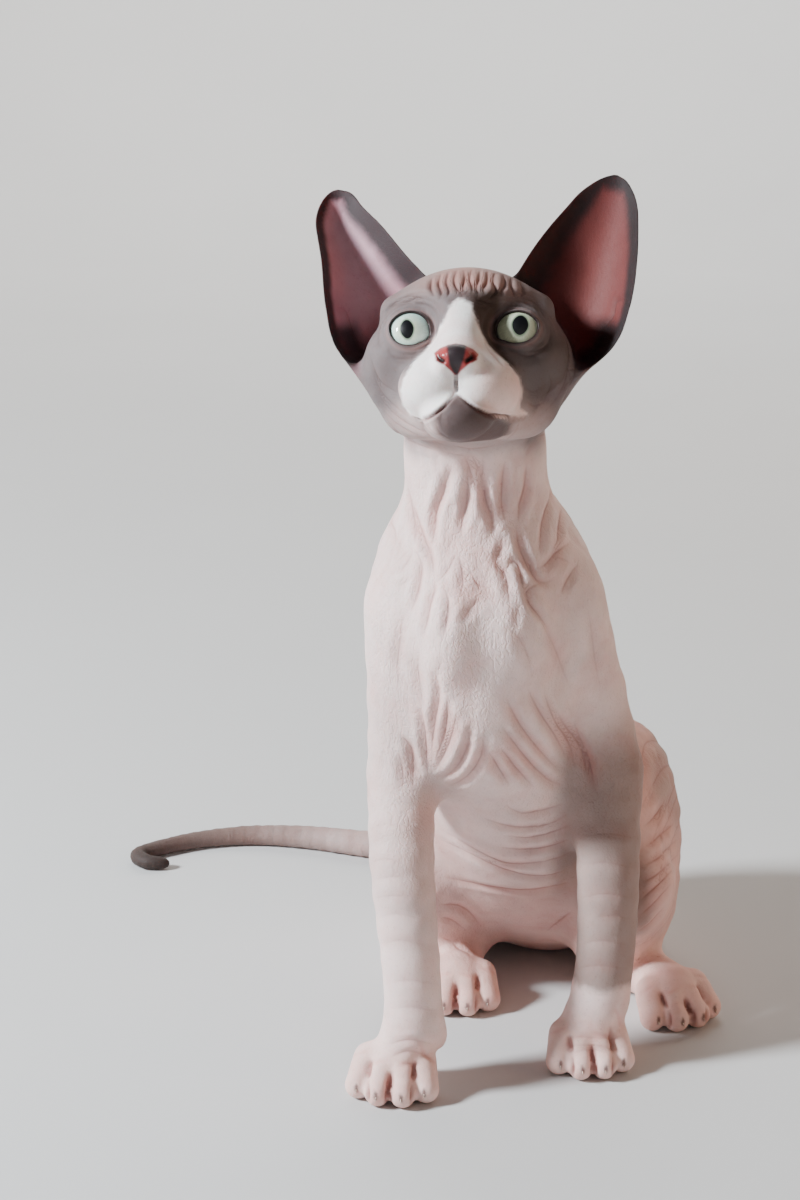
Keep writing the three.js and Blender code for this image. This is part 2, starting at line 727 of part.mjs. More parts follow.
const footBlock = (side, grow) => {
  const { foot, hock } = HIND_LEG[side];
  const toes = foot.at;
  const heel = hock[0];
  const along = [heel[0] - toes[0], heel[1] - toes[1]];
  const heading = THREE.MathUtils.radToDeg(Math.atan2(along[0], along[1]));
  const centre = [(toes[0] + heel[0]) / 2, (toes[1] + heel[1]) / 2, HIND_FOOT_HEIGHT / 2 - 10];
  return blockAt(centre, [36, Math.hypot(...along) + 44, HIND_FOOT_HEIGHT + 20], heading, grow);
};
const forelegSpace = (side, grow) => {
  const [point, normal] = FORELEG_BACK[side];
  return blockAt(...FORELEG_BLOCK[side], 0, grow)
    .intersect(beyond(add(point, scale(unit(normal), -grow / 2)), normal));
};
const haunchPlane = {
  left: [rear(24, 0, 0), [0.978, -0.208, 0.12]],
  right: [rear(-24, 0, 0), [-0.978, 0.208, 0.12]],
};
const haunchTop = {
  left: [rear(30, 0, 96), [0.25, 0, -1]],
  right: [rear(-30, 0, 96), [-0.25, 0, -1]],
};

function haunchSpace(side, grow) {
  const clear = (plane) => beyond(add(plane[0], scale(unit(plane[1]), -grow / 2)), plane[1]);
  return clear(haunchPlane[side]).intersect(clear(haunchTop[side]));
}

let torso = polygonise(body, [-24, 0, -2], [112, 190, 206], STEP.trunk);
torso = keep(floorCut(torso), COLLAR_CUT[0], scale(COLLAR_CUT[1], -1));
torso = keep(torso, TAIL_ROOT_CUT[0], scale(TAIL_ROOT_CUT[1], -1));
for (const side of ['right', 'left']) {
  torso = torso.subtract(forelegSpace(side, GAP));
  torso = torso.subtract(footBlock(side, GAP));
  torso = torso.subtract(haunchSpace(side, GAP));
}
keepPart('torso', torso, FLESH);

// Legs

for (const side of ['right', 'left']) {
  const [centre, size] = FORELEG_BLOCK[side];
  const low = [centre[0] - size[0] / 2, centre[1] - size[1] / 2, 0];
  const high = [centre[0] + size[0] / 2, centre[1] + size[1] / 2, ARMPIT_HEIGHT];
  const grow = (corner, by) => corner.map((v) => v + by);
  let foreleg = polygonise(body, [low[0] - 6, low[1] - 6, 12], grow(high, 6), STEP.leg);
  foreleg = foreleg.intersect(forelegSpace(side, -GAP));
  foreleg = keep(foreleg, [0, 0, WRIST_HEIGHT], [0, 0, 1]);
  keepPart(`foreleg_${side}`, foreleg, FLESH);

  const pawLow = [FOREPAW[side].at[0] - 22, FOREPAW[side].at[1] - 22, -2];
  const pawHigh = [FOREPAW[side].at[0] + 22, FOREPAW[side].at[1] + 24, WRIST_HEIGHT + 6];
  let forepaw = floorCut(polygonise(body, pawLow, pawHigh, STEP.forepaw));
  forepaw = keep(forepaw, [0, 0, WRIST_HEIGHT], [0, 0, -1]);
  keepPart(`forepaw_${side}`, forepaw, FLESH);

  const hip = rear(side === 'left' ? 45 : -45, 0, 0);
  let hindLegSolid = polygonise(body, [hip[0] - 50, 40, -2], [hip[0] + 54, 182, 112], STEP.thigh);
  hindLegSolid = floorCut(hindLegSolid).intersect(haunchSpace(side, -GAP));
  hindLegSolid = hindLegSolid.subtract(forelegSpace(side, GAP)).subtract(footBlock(side, GAP));
  keepPart(`hind_leg_${side}`, hindLegSolid, FLESH);

  const { foot, hock } = HIND_LEG[side];
  const footLow = [Math.min(foot.at[0], hock[0][0]) - 20, foot.at[1] - 20, -2];
  const footHigh = [Math.max(foot.at[0], hock[0][0]) + 20, hock[0][1] + 22, HIND_FOOT_HEIGHT + 6];
  const hindFootSolid = floorCut(polygonise(body, footLow, footHigh, STEP.hindFoot));
  keepPart(`hind_foot_${side}`, hindFootSolid.intersect(footBlock(side, -GAP)), FLESH);
}

// Tail: rings of ten corners along its line, each half closed by its two end rings

const TAIL_SIDES = 10;
const tailLine = new THREE.CatmullRomCurve3(TAIL_PATH.map((p) => new THREE.Vector3(...p)));
const tailGirth = new THREE.CatmullRomCurve3(TAIL_RADIUS.map((r, i) => new THREE.Vector3(r, i, 0)));

function tailLength(from, to, rings) {
  const points = [];
  for (let i = 0; i <= rings; i += 1) {
    const s = mix(from, to, i / rings);
    const middle = tailLine.getPoint(s).toArray();
    const along = tailLine.getTangent(s).toArray();
    const across = unit(cross(along, [0, 0, 1]));
    const upward = cross(across, along);
    const round = s > 0.985 ? 0.6 : 1;
    for (let j = 0; j < TAIL_SIDES; j += 1) {
      const angle = (2 * Math.PI * j) / TAIL_SIDES;
      const radius = tailGirth.getPoint(s).x * round;
      const offset = add(scale(across, Math.cos(angle)), scale(upward, Math.sin(angle)));
      points.push(add(middle, scale(offset, radius)));
    }
  }
  const triangles = [];
  for (let i = 0; i < rings; i += 1) {
    for (let j = 0; j < TAIL_SIDES; j += 1) {
      const a = i * TAIL_SIDES + j;
      const b = i * TAIL_SIDES + ((j + 1) % TAIL_SIDES);
      triangles.push(a, a + TAIL_SIDES, b + TAIL_SIDES, a, b + TAIL_SIDES, b);
    }
  }
  const last = rings * TAIL_SIDES;
  for (let j = 1; j < TAIL_SIDES - 1; j += 1) {
    triangles.push(0, j, j + 1, last, last + j + 1, last + j);
  }
  const tube = solid(points, triangles);
  return floorCut(tube.volume() > 0 ? tube : solid(points, triangles.reverse()));
}
const tailBase = keep(tailLength(0.05, 0.5, 12), ...TAIL_ROOT_CUT);
keepPart('tail_base', keep(tailBase, TAIL_HALF_CUT[0], scale(TAIL_HALF_CUT[1], -1)), FLESH);
keepPart('tail_tip', keep(tailLength(0.4, 1, 20), ...TAIL_HALF_CUT), DARK_SKIN);

// The kitten stands on z = 0 with the middle of its box over the origin

const kitten = new THREE.Group();
kitten.add(...parts);
const box = new THREE.Box3().setFromObject(kitten);
const middle = box.getCenter(new THREE.Vector3());
kitten.position.set(-middle.x, -middle.y, -box.min.z);

export default kitten;
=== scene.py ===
# %% [markdown]
# # A sphynx kitten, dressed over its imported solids
#
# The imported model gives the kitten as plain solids: head, ears, neck, torso, legs and tail.
# This lesson puts one living skin over them, with lids, folds and markings, and sets real eyes
# and claws into it. Everything is measured in millimetres while it is worked out, in the
# frame that the solids were drawn in, and turned into Blender's metres at the very end.

# %% Load the frame
import math

import bpy
import numpy as np
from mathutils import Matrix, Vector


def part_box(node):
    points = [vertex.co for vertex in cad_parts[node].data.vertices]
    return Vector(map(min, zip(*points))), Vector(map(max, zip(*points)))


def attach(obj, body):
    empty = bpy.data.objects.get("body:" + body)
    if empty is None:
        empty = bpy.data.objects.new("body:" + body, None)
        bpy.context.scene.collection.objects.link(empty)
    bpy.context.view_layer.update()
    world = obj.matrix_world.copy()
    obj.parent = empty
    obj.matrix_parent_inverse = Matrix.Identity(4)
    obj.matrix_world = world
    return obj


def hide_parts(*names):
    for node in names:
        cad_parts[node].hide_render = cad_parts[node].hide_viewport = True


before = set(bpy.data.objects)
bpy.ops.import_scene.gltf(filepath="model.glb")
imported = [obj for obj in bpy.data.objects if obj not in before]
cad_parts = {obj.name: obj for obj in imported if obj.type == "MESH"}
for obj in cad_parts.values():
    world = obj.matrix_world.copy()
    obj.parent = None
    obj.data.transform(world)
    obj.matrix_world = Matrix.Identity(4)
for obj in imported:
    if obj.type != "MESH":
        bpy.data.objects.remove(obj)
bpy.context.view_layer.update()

# %% [markdown]
# ## The head's own frame
#
# A face is easiest to describe from straight ahead. The head looks up and a little to its
# right, so its landmarks are given in a frame that is turned with it: x to the kitten's left,
# y to the back of the head, z up, with the origin between the eyes. The left eyeball of the
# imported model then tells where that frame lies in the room.

# %% Head frame
HEAD_ORIGIN = np.array([17.8, 2.0, 242.6])
HEAD_LOOKS_UP, HEAD_TURNS, HEAD_TILTS = 29, 8, 2
EYE_CENTRE = np.array([15.0, 5.5, -0.8])
EYE_RADIUS = 8.5


def turn_about(axis, degrees):
    """Rotation matrix about one axis, from the cosine and sine of the angle."""
    c, s = math.cos(math.radians(degrees)), math.sin(math.radians(degrees))
    i, j = (axis + 1) % 3, (axis + 2) % 3
    matrix = np.eye(3)
    matrix[i, i] = matrix[j, j] = c
    matrix[i, j], matrix[j, i] = -s, s
    return matrix


HEAD_AXES = turn_about(2, -HEAD_TURNS) @ turn_about(0, -HEAD_LOOKS_UP) @ turn_about(1, -HEAD_TILTS)


def from_head(points):
    """Head frame to room: turn the point by the head's axes, then add the head's origin."""
    return np.asarray(points, float) @ HEAD_AXES.T + HEAD_ORIGIN


def into_head(points):
    """Room to head frame: take the origin off, then read along the head's axes."""
    return (np.asarray(points, float) - HEAD_ORIGIN) @ HEAD_AXES


MM = 0.001
eye_low, eye_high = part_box("eye_left")
eye_place = (np.array(eye_low) + np.array(eye_high)) / 2 / MM
SHIFT = eye_place - from_head(EYE_CENTRE)
print("drawing frame to room, mm:", np.round(SHIFT, 3))

# %% [markdown]
# ## The camera
#
# The camera stands 62 cm in front of the kitten and 34 cm above the floor, and looks down by
# 15.7 degrees, as the photographer did. The lens follows from the size of the kitten in the
# frame: 2258 picture points to one unit of slope, on a frame of 800 by 1200.

# %% Camera
FRAME_WIDTH, FRAME_HEIGHT = 800, 1200
FOCAL = 2258.0
SENSOR = 36.0
CAMERA_PITCH = 15.7
CAMERA_PLACE = np.array([0.0, -625.0, 340.0])

camera = bpy.data.cameras.new("camera")
camera.sensor_width = SENSOR
camera.lens = FOCAL / FRAME_HEIGHT * SENSOR
camera.clip_start = 0.01
camera_object = bpy.data.objects.new("camera", camera)
camera_object.location = (CAMERA_PLACE + SHIFT) * MM
camera_object.rotation_euler = (math.radians(90 - CAMERA_PITCH), 0, 0)
bpy.context.scene.collection.objects.link(camera_object)
bpy.context.scene.camera = camera_object

VIEW_AHEAD = np.array([0, math.cos(math.radians(CAMERA_PITCH)), -math.sin(math.radians(CAMERA_PITCH))])
VIEW_UP = np.array([0, math.sin(math.radians(CAMERA_PITCH)), math.cos(math.radians(CAMERA_PITCH))])


def picture(points):
    """Room to picture: slope to the right and upward of the view axis, times the focal length."""
    offset = points - CAMERA_PLACE
    depth = offset @ VIEW_AHEAD
    across = FRAME_WIDTH / 2 + FOCAL * offset[:, 0] / depth
    down = FRAME_HEIGHT / 2 - FOCAL * (offset @ VIEW_UP) / depth
    return np.stack([across, down], axis=1)


print("camera at", np.round(camera_object.location, 3))

# %% [markdown]
# ## Flesh as a field
#
# A body has no edges: a thigh flows into a belly. Instead of joining tubes and balls by hand,
# each form is a function of a point in space, negative inside and positive outside. Two forms
# melt together with a soft minimum, which is the smaller of the two, minus a little where
# they are nearly equal. The forms here repeat the named sizes of the solids.

# %% Forms
REACH = 12.0
FAR = 60.0


class Form:
    """A shape that answers points with a value and its slope, and the box that it fills."""

    def __init__(self, value, low, high):
        self.value = value
        self.low = np.asarray(low, float)
        self.high = np.asarray(high, float)


def unit(vectors):
    """Vectors divided by their lengths."""
    return vectors / np.maximum(np.sqrt((vectors * vectors).sum(axis=1)), 1e-9)[:, None]


def ease(low, high, values):
    """0 below low, 1 above high, and 3 t squared less 2 t cubed between them."""
    t = np.clip((values - low) / (high - low), 0, 1)
    return t * t * (3 - 2 * t)


def fade(low, high, values):
    """1 below low, 0 above high."""
    return 1 - ease(low, high, values)


def band(rise_start, rise_end, fall_start, fall_end, values):
    """Up from 0 to 1 over the first range, and down to 0 again over the second."""
    return ease(rise_start, rise_end, values) * fade(fall_start, fall_end, values)


def bell(values, width):
    """1 at zero, and falling off to both sides as e to the minus square."""
    return np.exp(-(values / width) ** 2)


def ball(centre, radii, turn_z=0.0, turn_x=0.0):
    """Ellipsoid: n (n - 1) over the slope of n, where n is the distance counted in radii."""
    c, r = np.array(centre, float), np.array(radii, float)
    turn = turn_about(2, turn_z) @ turn_about(0, turn_x)

    def value(points):
        q = (points - c) @ turn / r
        near = np.sqrt((q * q).sum(axis=1))
        way = q / r
        steep = np.maximum(np.sqrt((way * way).sum(axis=1)), 1e-9)
        return near * (near - 1) / steep, (way / steep[:, None]) @ turn.T

    return Form(value, c - r.max(), c + r.max())


def limb(start, end, start_radius, end_radius, eased=False):
    """Tapered rod: distance to the line from start to end, less a radius that changes along it.

    An eased taper follows 3 t squared less 2 t cubed, so that it is level at both ends.
    """
    a, b = np.array(start, float), np.array(end, float)
    along = b - a

    def value(points):
        offset = points - a
        t = np.clip(offset @ along / (along @ along), 0, 1)
        away = offset - t[:, None] * along
        distance = np.sqrt((away * away).sum(axis=1))
        share = t * t * (3 - 2 * t) if eased else t
        return (distance - (start_radius + (end_radius - start_radius) * share),
                away / np.maximum(distance, 1e-9)[:, None])

    r = max(start_radius, end_radius)
    return Form(value, np.minimum(a, b) - r, np.maximum(a, b) + r)


def soft_min(a, b, blend):
    """Smaller of the two, less a quarter of the blend times the square of how alike they are.

    The slope is shared between the two in the same way: evenly where they are equal.
    """
    (value_a, slope_a), (value_b, slope_b) = a, b
    gap = value_a - value_b
    alike = np.maximum(blend - np.abs(gap), 0) / blend
    share = np.where(gap < 0, alike / 2, 1 - alike / 2)[:, None]
    return np.minimum(value_a, value_b) - alike * alike * blend / 4, slope_a + share * (slope_b - slope_a)


def melt(forms_and_blends, points):
    """Soft minimum of many forms; each is worked out only at the points that it can touch."""
    value, slopes = np.full(len(points), FAR), np.zeros((len(points), 3))
    for form, blend in forms_and_blends:
        reach = REACH + blend
        near = np.flatnonzero(np.all((points > form.low - reach) & (points < form.high + reach), axis=1))
        if len(near):
            value[near], slopes[near] = soft_min(
                (value[near], slopes[near]), form.value(points[near]), blend)
    return value, slopes


def flesh(blend, *forms):
    """Several forms melted together, one after the other."""
    low = np.min([form.low for form in forms], axis=0)
    high = np.max([form.high for form in forms], axis=0)
    return Form(lambda points: melt([(form, blend) for form in forms], points), low, high)


def smooth_curve(points, t):
    """Catmull-Rom curve with knots spaced by the square root of the distance between points.

    Each span is a cubic whose slope at a point is that of the parabola through it and its
    neighbours; beyond the ends the points are carried on in a straight line.
    """
    pts = np.asarray(points, float)
    count = len(pts)
    place = np.clip(np.asarray(t, float), 0, 1) * (count - 1)
    i = np.minimum(place.astype(int), count - 2)
    w = (place - i)[:, None]
    padded = np.vstack([2 * pts[0] - pts[1], pts, 2 * pts[-1] - pts[-2]])
    p0, p1, p2, p3 = (padded[i + k] for k in range(4))
    span = lambda a, b: np.sqrt(np.linalg.norm(b - a, axis=1))[:, None]
    d0, d1, d2 = span(p0, p1), span(p1, p2), span(p2, p3)
    m1 = ((p1 - p0) / d0 - (p2 - p0) / (d0 + d1) + (p2 - p1) / d1) * d1
    m2 = ((p2 - p1) / d1 - (p3 - p1) / (d1 + d2) + (p3 - p2) / d2) * d1
    c2 = -3 * p1 + 3 * p2 - 2 * m1 - m2
    c3 = 2 * p1 - 2 * p2 + m1 + m2
    return p1 + w * (m1 + w * (c2 + w * c3))


def bent_limb(path, radii, pieces, blend=1.5):
    """A limb without knots: short tapered rods, end to end along a smooth curve."""
    t = np.linspace(0, 1, pieces + 1)
    line = smooth_curve(path, t)
    radius = np.interp(t * (len(path) - 1), range(len(path)), radii)
    return flesh(blend, *[limb(*rod) for rod in zip(line[:-1], line[1:], radius[:-1], radius[1:])])


# %% [markdown]
# ## Trunk and legs
#
# The trunk leans back from a narrow chest to a round kitten's belly, and the rump is turned a
# little to the kitten's left. Each foreleg is a bent limb with a ball at the elbow.

# %% Trunk
REAR_ORIGIN = (48, 110)
REAR_TURNS = 12


def rear(left, forward, height):
    """Rear frame to room: left and forward are turned by the angle of the rump."""
    c, s = math.cos(math.radians(REAR_TURNS)), math.sin(math.radians(REAR_TURNS))
    return [REAR_ORIGIN[0] + left * c - forward * s, REAR_ORIGIN[1] - left * s - forward * c, height]


NECK_ROOT = [22.5, 41, 200]
trunk = flesh(
    16,
    limb([29, 66, 146], [48, 122, 54], 33, 37),
    ball([26, 41, 137.5], [26.5, 29.5, 43], 0, 8),
    limb([27, 47, 116], [37, 80, 78], 21, 26),
    ball(rear(0, -22, 42), [40, 38, 44], -REAR_TURNS),
    ball([41, 92, 62], [37, 30, 46], -REAR_TURNS, 28),
    limb([23.8, 50, 160], NECK_ROOT, 30.5, 18, eased=True),
    limb(NECK_ROOT, [22, 40, 214], 18, 17.5),
    ball([17, 76, 170], [9, 14, 12]),
    ball([38, 78, 170], [9, 14, 12]),
)
breast_right = ball([16, 19, 150], [9, 11, 15])
breast_left = ball([33, 20, 150], [9, 11, 15])

# %% Forelegs and paws
FORELEG = {
    "right": ([[4, 38, 150], [1, 46, 100], [0.6, 31, 72], [3.6, 21, 38], [4.4, 19, 22]],
              [14.5, 11, 10.2, 9, 8.8]),
    "left": ([[48.5, 43, 151], [64.5, 57, 98], [66.4, 45, 62], [65.6, 39, 36], [64, 37, 21]],
             [14, 11.5, 10, 9.2, 9]),
}
LEG_PIECES = 14
FOREPAW = {"right": ([-1.8, 15, 0], 8, 1.0), "left": ([60.3, 33, 0], -4, 0.95)}
TOES = [-10.6, -3.9, 3.9, 10.6]
TOE_REACH = [-9.5, -13.6, -13.6, -9.5]
TOE_RADIUS = 4.5
KNUCKLE_RADIUS, KNUCKLE_HEIGHT, KNUCKLE_BACK = 5.0, 10.5, 1.5


def paw_frame(at, heading):
    """Paw frame to room: x across the toes, y to the back, turned by the heading of the paw."""
    c, s = math.cos(math.radians(heading)), math.sin(math.radians(heading))
    return lambda x, y, z: [at[0] + x * c + y * s, at[1] - x * s + y * c, z]


def paw(at, heading, spread, back):
    """Four toes fanned from the knuckles, the pad under them, the back of the paw and the heel."""
    place = paw_frame(at, heading)
    toes = [
        limb(place(x * spread, reach + TOE_RADIUS, TOE_RADIUS - 0.3),
             place(x * spread * 0.78, KNUCKLE_BACK, KNUCKLE_HEIGHT), TOE_RADIUS, KNUCKLE_RADIUS)
        for x, reach in zip(TOES, TOE_REACH)
    ]
    pad = ball(place(0, 1, 5.4), [11.5 * spread, 9, 6.4], -heading)
    top = ball(place(0, 2.4, 8.8), [10.5 * spread, 7.6, 5.6], -heading)
    heel = limb(place(0, 2, 10), back, 8.4, 8.6)
    return [flesh(1.0, *toes), flesh(4, pad, heel, top)]


foreleg_right = flesh(8, bent_limb(*FORELEG["right"], LEG_PIECES), ball([1.5, 50, 92], [9, 9, 12]))
foreleg_left = flesh(8, bent_limb(*FORELEG["left"], LEG_PIECES), ball([66.5, 59, 90], [9.5, 9, 12]))
forepaw_right = flesh(2.6, *paw(*FOREPAW["right"], FORELEG["right"][0][-1]), ball([12, 20, 17], [3, 4, 4.5]))
forepaw_left = flesh(2.6, *paw(*FOREPAW["left"], FORELEG["left"][0][-1]), ball([55, 36, 15], [3, 4, 5]))

# %% Hind legs and feet
HIND = {
    "left": {
        "thigh": ball(rear(28.4, -2, 44), [21.5, 37, 46], -REAR_TURNS, -18),
        "knee": (rear(36, 30, 44), 14), "hock": (rear(26, -27, 11.5), 8.5),
        "foot": ([91.5, 67, 0], -24, 1.02), "instep": [83, 86, 9],
    },
    "right": {
        "thigh": ball(rear(-28, -2, 44), [21, 37, 46], -REAR_TURNS, -18),
        "knee": (rear(-35, 30, 44), 14), "hock": (rear(-25, -27, 11.5), 8.5),
        "foot": ([19.5, 78, 0], 4, 1.0), "instep": [20, 97, 9],
    },
}
PAWS = [FOREPAW["right"], FOREPAW["left"], HIND["left"]["foot"], HIND["right"]["foot"]]


def every_toe():
    """For each toe of each paw: the paw's frame, how far aside the toe lies, and how far ahead."""
    for at, heading, spread in PAWS:
        for toe, reach in zip(TOES, TOE_REACH):
            yield paw_frame(at, heading), toe * spread, reach


def hind_leg(side):
    """Thigh and shin, folded together."""
    leg = HIND[side]
    return flesh(12, leg["thigh"], limb(leg["knee"][0], leg["hock"][0], leg["knee"][1], leg["hock"][1]))


def hind_foot(side):
    """The long hind foot: a paw, and the bone behind it back to the hock."""
    leg = HIND[side]
    return flesh(2.6, *paw(*leg["foot"], leg["instep"]),
                 limb(leg["instep"], leg["hock"][0], 8.4, leg["hock"][1]))


# %% [markdown]
# ## Tail
#
# The tail leaves between the sit bones, lies on the floor round the kitten's right side and
# curls back at its tip. It is one more bent limb, thinning all the way.

# %% Tail
TAIL_PATH = [
    [49, 152, 22], [51, 171, 10], [38, 190, 6.1], [12, 203, 5.4], [-14, 210, 5], [-36, 218, 4.5],
    [-58, 222, 3.9], [-78, 219, 3.4], [-94, 211, 3.1], [-103, 203, 2.9], [-99, 196.5, 2.8], [-92, 196, 2.4],
]
TAIL_RADIUS = [9, 7.4, 6.5, 5.8, 5.4, 4.8, 4.2, 3.7, 3.4, 3.2, 3, 2.6]
TAIL_PIECES = 44
TAIL_DOWN = 0.2
tail = bent_limb(TAIL_PATH, np.array(TAIL_RADIUS) - TAIL_DOWN, TAIL_PIECES)
tail_line = smooth_curve(TAIL_PATH, np.linspace(0, 1, TAIL_PIECES + 1))
print("tail is", round(float(np.linalg.norm(np.diff(tail_line, axis=0), axis=1).sum())), "mm long")

# %% [markdown]
# ## Head
#
# The skull, cheeks, bridge of the nose, jaw and muzzle pads are forms in the head's frame. x is
# folded, so that one set of forms makes both sides.

# %% Head
head_forms = flesh(
    7,
    ball([0, 23, -2], [28.5, 29, 23]),
    ball([0, 8, 6.5], [20, 14.5, 13.5]),
    ball([20, 13, -5.5], [9.3, 13, 9]),
    limb([0, 3, 3], [0, -12.3, -13.2], 8.5, 6.7),
    limb([0, -2, -25.5], [15.6, 19.5, -16], 8.5, 9.6),
    ball([8, -7.6, -19.8], [9, 10.4, 8.6], -24, 8),
)
chin = ball([0, -9.5, -29.5], [9.6, 8.2, 6.2])
nose = flesh(
    2.5,
    ball([0, -18, -15.4], [4.4, 4.4, 3.9], 0, -20),
    ball([3.6, -17.6, -16.6], [2.7, 3.6, 2.9]),
)
LID_RADIUS = EYE_RADIUS + 1.0
lid = ball(EYE_CENTRE, [LID_RADIUS] * 3)
brow = limb([9, 4, 9.5], [21, 7, 8.5], 4, 3.4)
orbit = ball(EYE_CENTRE + [0.8, -13, 0], [8.3, 16, 7.7], 4)
ORBIT_BLEND, LID_BLEND, ORBIT_REACH = 5, 2, 26
SKULL_FORMS = [(head_forms, 7), (chin, 2.5), (nose, 2), (brow, 5)]


def skull(points):
    """The whole head as one field: points go into the head's frame, slopes come back out."""
    local = into_head(points)
    side = np.where(local[:, 0] < 0, -1.0, 1.0)
    local[:, 0] *= side
    value, slopes = melt(SKULL_FORMS, local)
    near = np.flatnonzero(np.abs(local - EYE_CENTRE).max(axis=1) < ORBIT_REACH)
    value_near, slopes_near = soft_min((-value[near], -slopes[near]), orbit.value(local[near]), ORBIT_BLEND)
    value[near], slopes[near] = soft_min((-value_near, -slopes_near), lid.value(local[near]), LID_BLEND)
    slopes[:, 0] *= side
    return value, slopes @ HEAD_AXES.T


HEAD_REACH = 34
HEAD_MIDDLE = from_head([0, 12, -6])
head = Form(skull, HEAD_MIDDLE - HEAD_REACH, HEAD_MIDDLE + HEAD_REACH)

# %% [markdown]
# ## Ears
#
# An ear is a sheet of skin over gristle, cupped between an inner and an outer edge. The sheet
# is a function of two parameters: s runs from root to tip and t from the inner to the outer
# edge. The distance of a point to the sheet is found by stepping s and t to the foot of the
# perpendicular, and the ear is all that lies within half a thickness of it.

# %% Ear sheet
EAR_EDGES = {
    "right": (
        [[8.5, 19, 13], [13, 17.5, 21.5], [19.7, 17.5, 29.4],
         [27, 19.5, 39], [35, 22.5, 48.6], [36.2, 24.3, 53.7]],
        [[26, 14, -14], [37.5, 10.5, -1.5], [40.8, 10, 10],
         [43.2, 12.5, 25.9], [46.2, 17.5, 39.5], [47.2, 24, 51.7]],
    ),
    "left": (
        [[8.5, 19, 13], [13, 17.5, 22], [17.5, 17.5, 30],
         [22, 19.5, 37.6], [29.5, 22.5, 48.4], [34.4, 25.4, 56.9]],
        [[27, 14, -13], [41.3, 10.5, -2], [45.8, 10, 10],
         [47.6, 12.5, 25.4], [47.6, 17.5, 41], [47.2, 24.8, 55.3]],
    ),
}
EAR_CUP = [[depth, i, 0] for i, depth in enumerate([17, 15, 12.5, 9, 5, 1])]
CUP_LEANS = np.array([0.25, 1.0, -0.12])
EAR_HALF, EAR_RIM_HALF = 0.8, 0.5
EAR_NEAR = 8.0
TIP_START = 0.78
EAR_GRID_SIZE = (33, 17)
AT_ONCE, FOOT_STEPS, FOOT_MOST = 40000, 3, 0.06


def ear_sheet(side, s, t):
    """Point on the ear: straight from edge to edge, bent back by 4 t (1 - t) times the cup.

    Near the tip both edges close in on the middle as a circle does: the width is multiplied by
    the square root of one less the squared share of the way to the tip.
    """
    inner, outer = EAR_EDGES[side]
    to_tip = np.clip((s - TIP_START) / (1 - TIP_START), 0, 1)
    width = np.sqrt(1 - 0.99 * to_tip ** 2)
    across = 0.5 + (t - 0.5) * width
    depth = smooth_curve(EAR_CUP, s)[:, 0] * width
    chord = smooth_curve(inner, s) * (1 - across)[:, None] + smooth_curve(outer, s) * across[:, None]
    return chord + (4 * t * (1 - t) * depth)[:, None] * CUP_LEANS


EAR_GRID = {}
for side in EAR_EDGES:
    grid_s, grid_t = (axis.ravel() for axis in np.meshgrid(
        *[np.linspace(0, 1, size) for size in EAR_GRID_SIZE], indexing="ij"))
    EAR_GRID[side] = (grid_s, grid_t, ear_sheet(side, grid_s, grid_t))


def ear_foot(side, points):
    """Parameters of the nearest point on the ear: nearest grid point, then Gauss-Newton steps."""
    grid_s, grid_t, grid_points = EAR_GRID[side]
    nearest = np.empty(len(points), int)
    for chunk in range(0, len(points), AT_ONCE):
        q = points[chunk:chunk + AT_ONCE]
        square = (grid_points ** 2).sum(axis=1)[None] - 2 * q @ grid_points.T
        nearest[chunk:chunk + AT_ONCE] = square.argmin(axis=1)
    s, t = grid_s[nearest].copy(), grid_t[nearest].copy()
    e = 1e-3
    for _ in range(FOOT_STEPS):
        foot = ear_sheet(side, s, t)
        along = (ear_sheet(side, s + e, t) - ear_sheet(side, s - e, t)) / (
            np.clip(s + e, 0, 1) - np.clip(s - e, 0, 1))[:, None]
        across = (ear_sheet(side, s, t + e) - ear_sheet(side, s, t - e)) / (2 * e)
        away = points - foot
        a, b, c = ((u * v).sum(axis=1) for u, v in ((along, along), (along, across), (across, across)))
        f, g = (away * along).sum(axis=1), (away * across).sum(axis=1)
        square = np.maximum(a * c - b * b, 1e-9)
        s = np.clip(s + np.clip((f * c - g * b) / square, -FOOT_MOST, FOOT_MOST), 0, 1)
        t = np.clip(t + np.clip((g * a - f * b) / square, -2 * FOOT_MOST, 2 * FOOT_MOST), 0, 1)
    return s, t


def ear_form(side, extra=0.0):
    """All that lies within half a thickness of the sheet; the rim is thinner than the middle."""
    mirror = np.array([-1.0 if side == "right" else 1.0, 1, 1])

    def value(points):
        local = into_head(points) * mirror
        s, t = ear_foot(side, local)
        rim = np.clip(np.minimum(np.minimum(t, 1 - t), 1 - s) * 4, 0, 1)
        half = EAR_RIM_HALF + (EAR_HALF - EAR_RIM_HALF) * rim + extra
        away = local - ear_sheet(side, s, t)
        distance = np.sqrt((away * away).sum(axis=1))
        return distance - half, (away / np.maximum(distance, 1e-9)[:, None] * mirror) @ HEAD_AXES.T

    room = from_head(EAR_GRID[side][2] * mirror)
    return Form(value, room.min(axis=0) + EAR_NEAR, room.max(axis=0) - EAR_NEAR)


# %% [markdown]
# ## The whole body
#
# All forms melt into one field, each with a blend that suits it: wide where a shoulder flows
# into the chest, narrow where a paw meets its leg.

# %% Body
BODY_FORMS = [
    (trunk, 16), (breast_right, 8), (breast_left, 8), (foreleg_right, 10), (foreleg_left, 10),
    (forepaw_right, 4), (forepaw_left, 4), (hind_leg("right"), 8), (hind_leg("left"), 8),
    (hind_foot("right"), 4), (hind_foot("left"), 4), (tail, 9), (head, 12),
]
EAR_BLEND = 6
THICK_EAR = 1.9
FLOOR_SKIN = 0.15


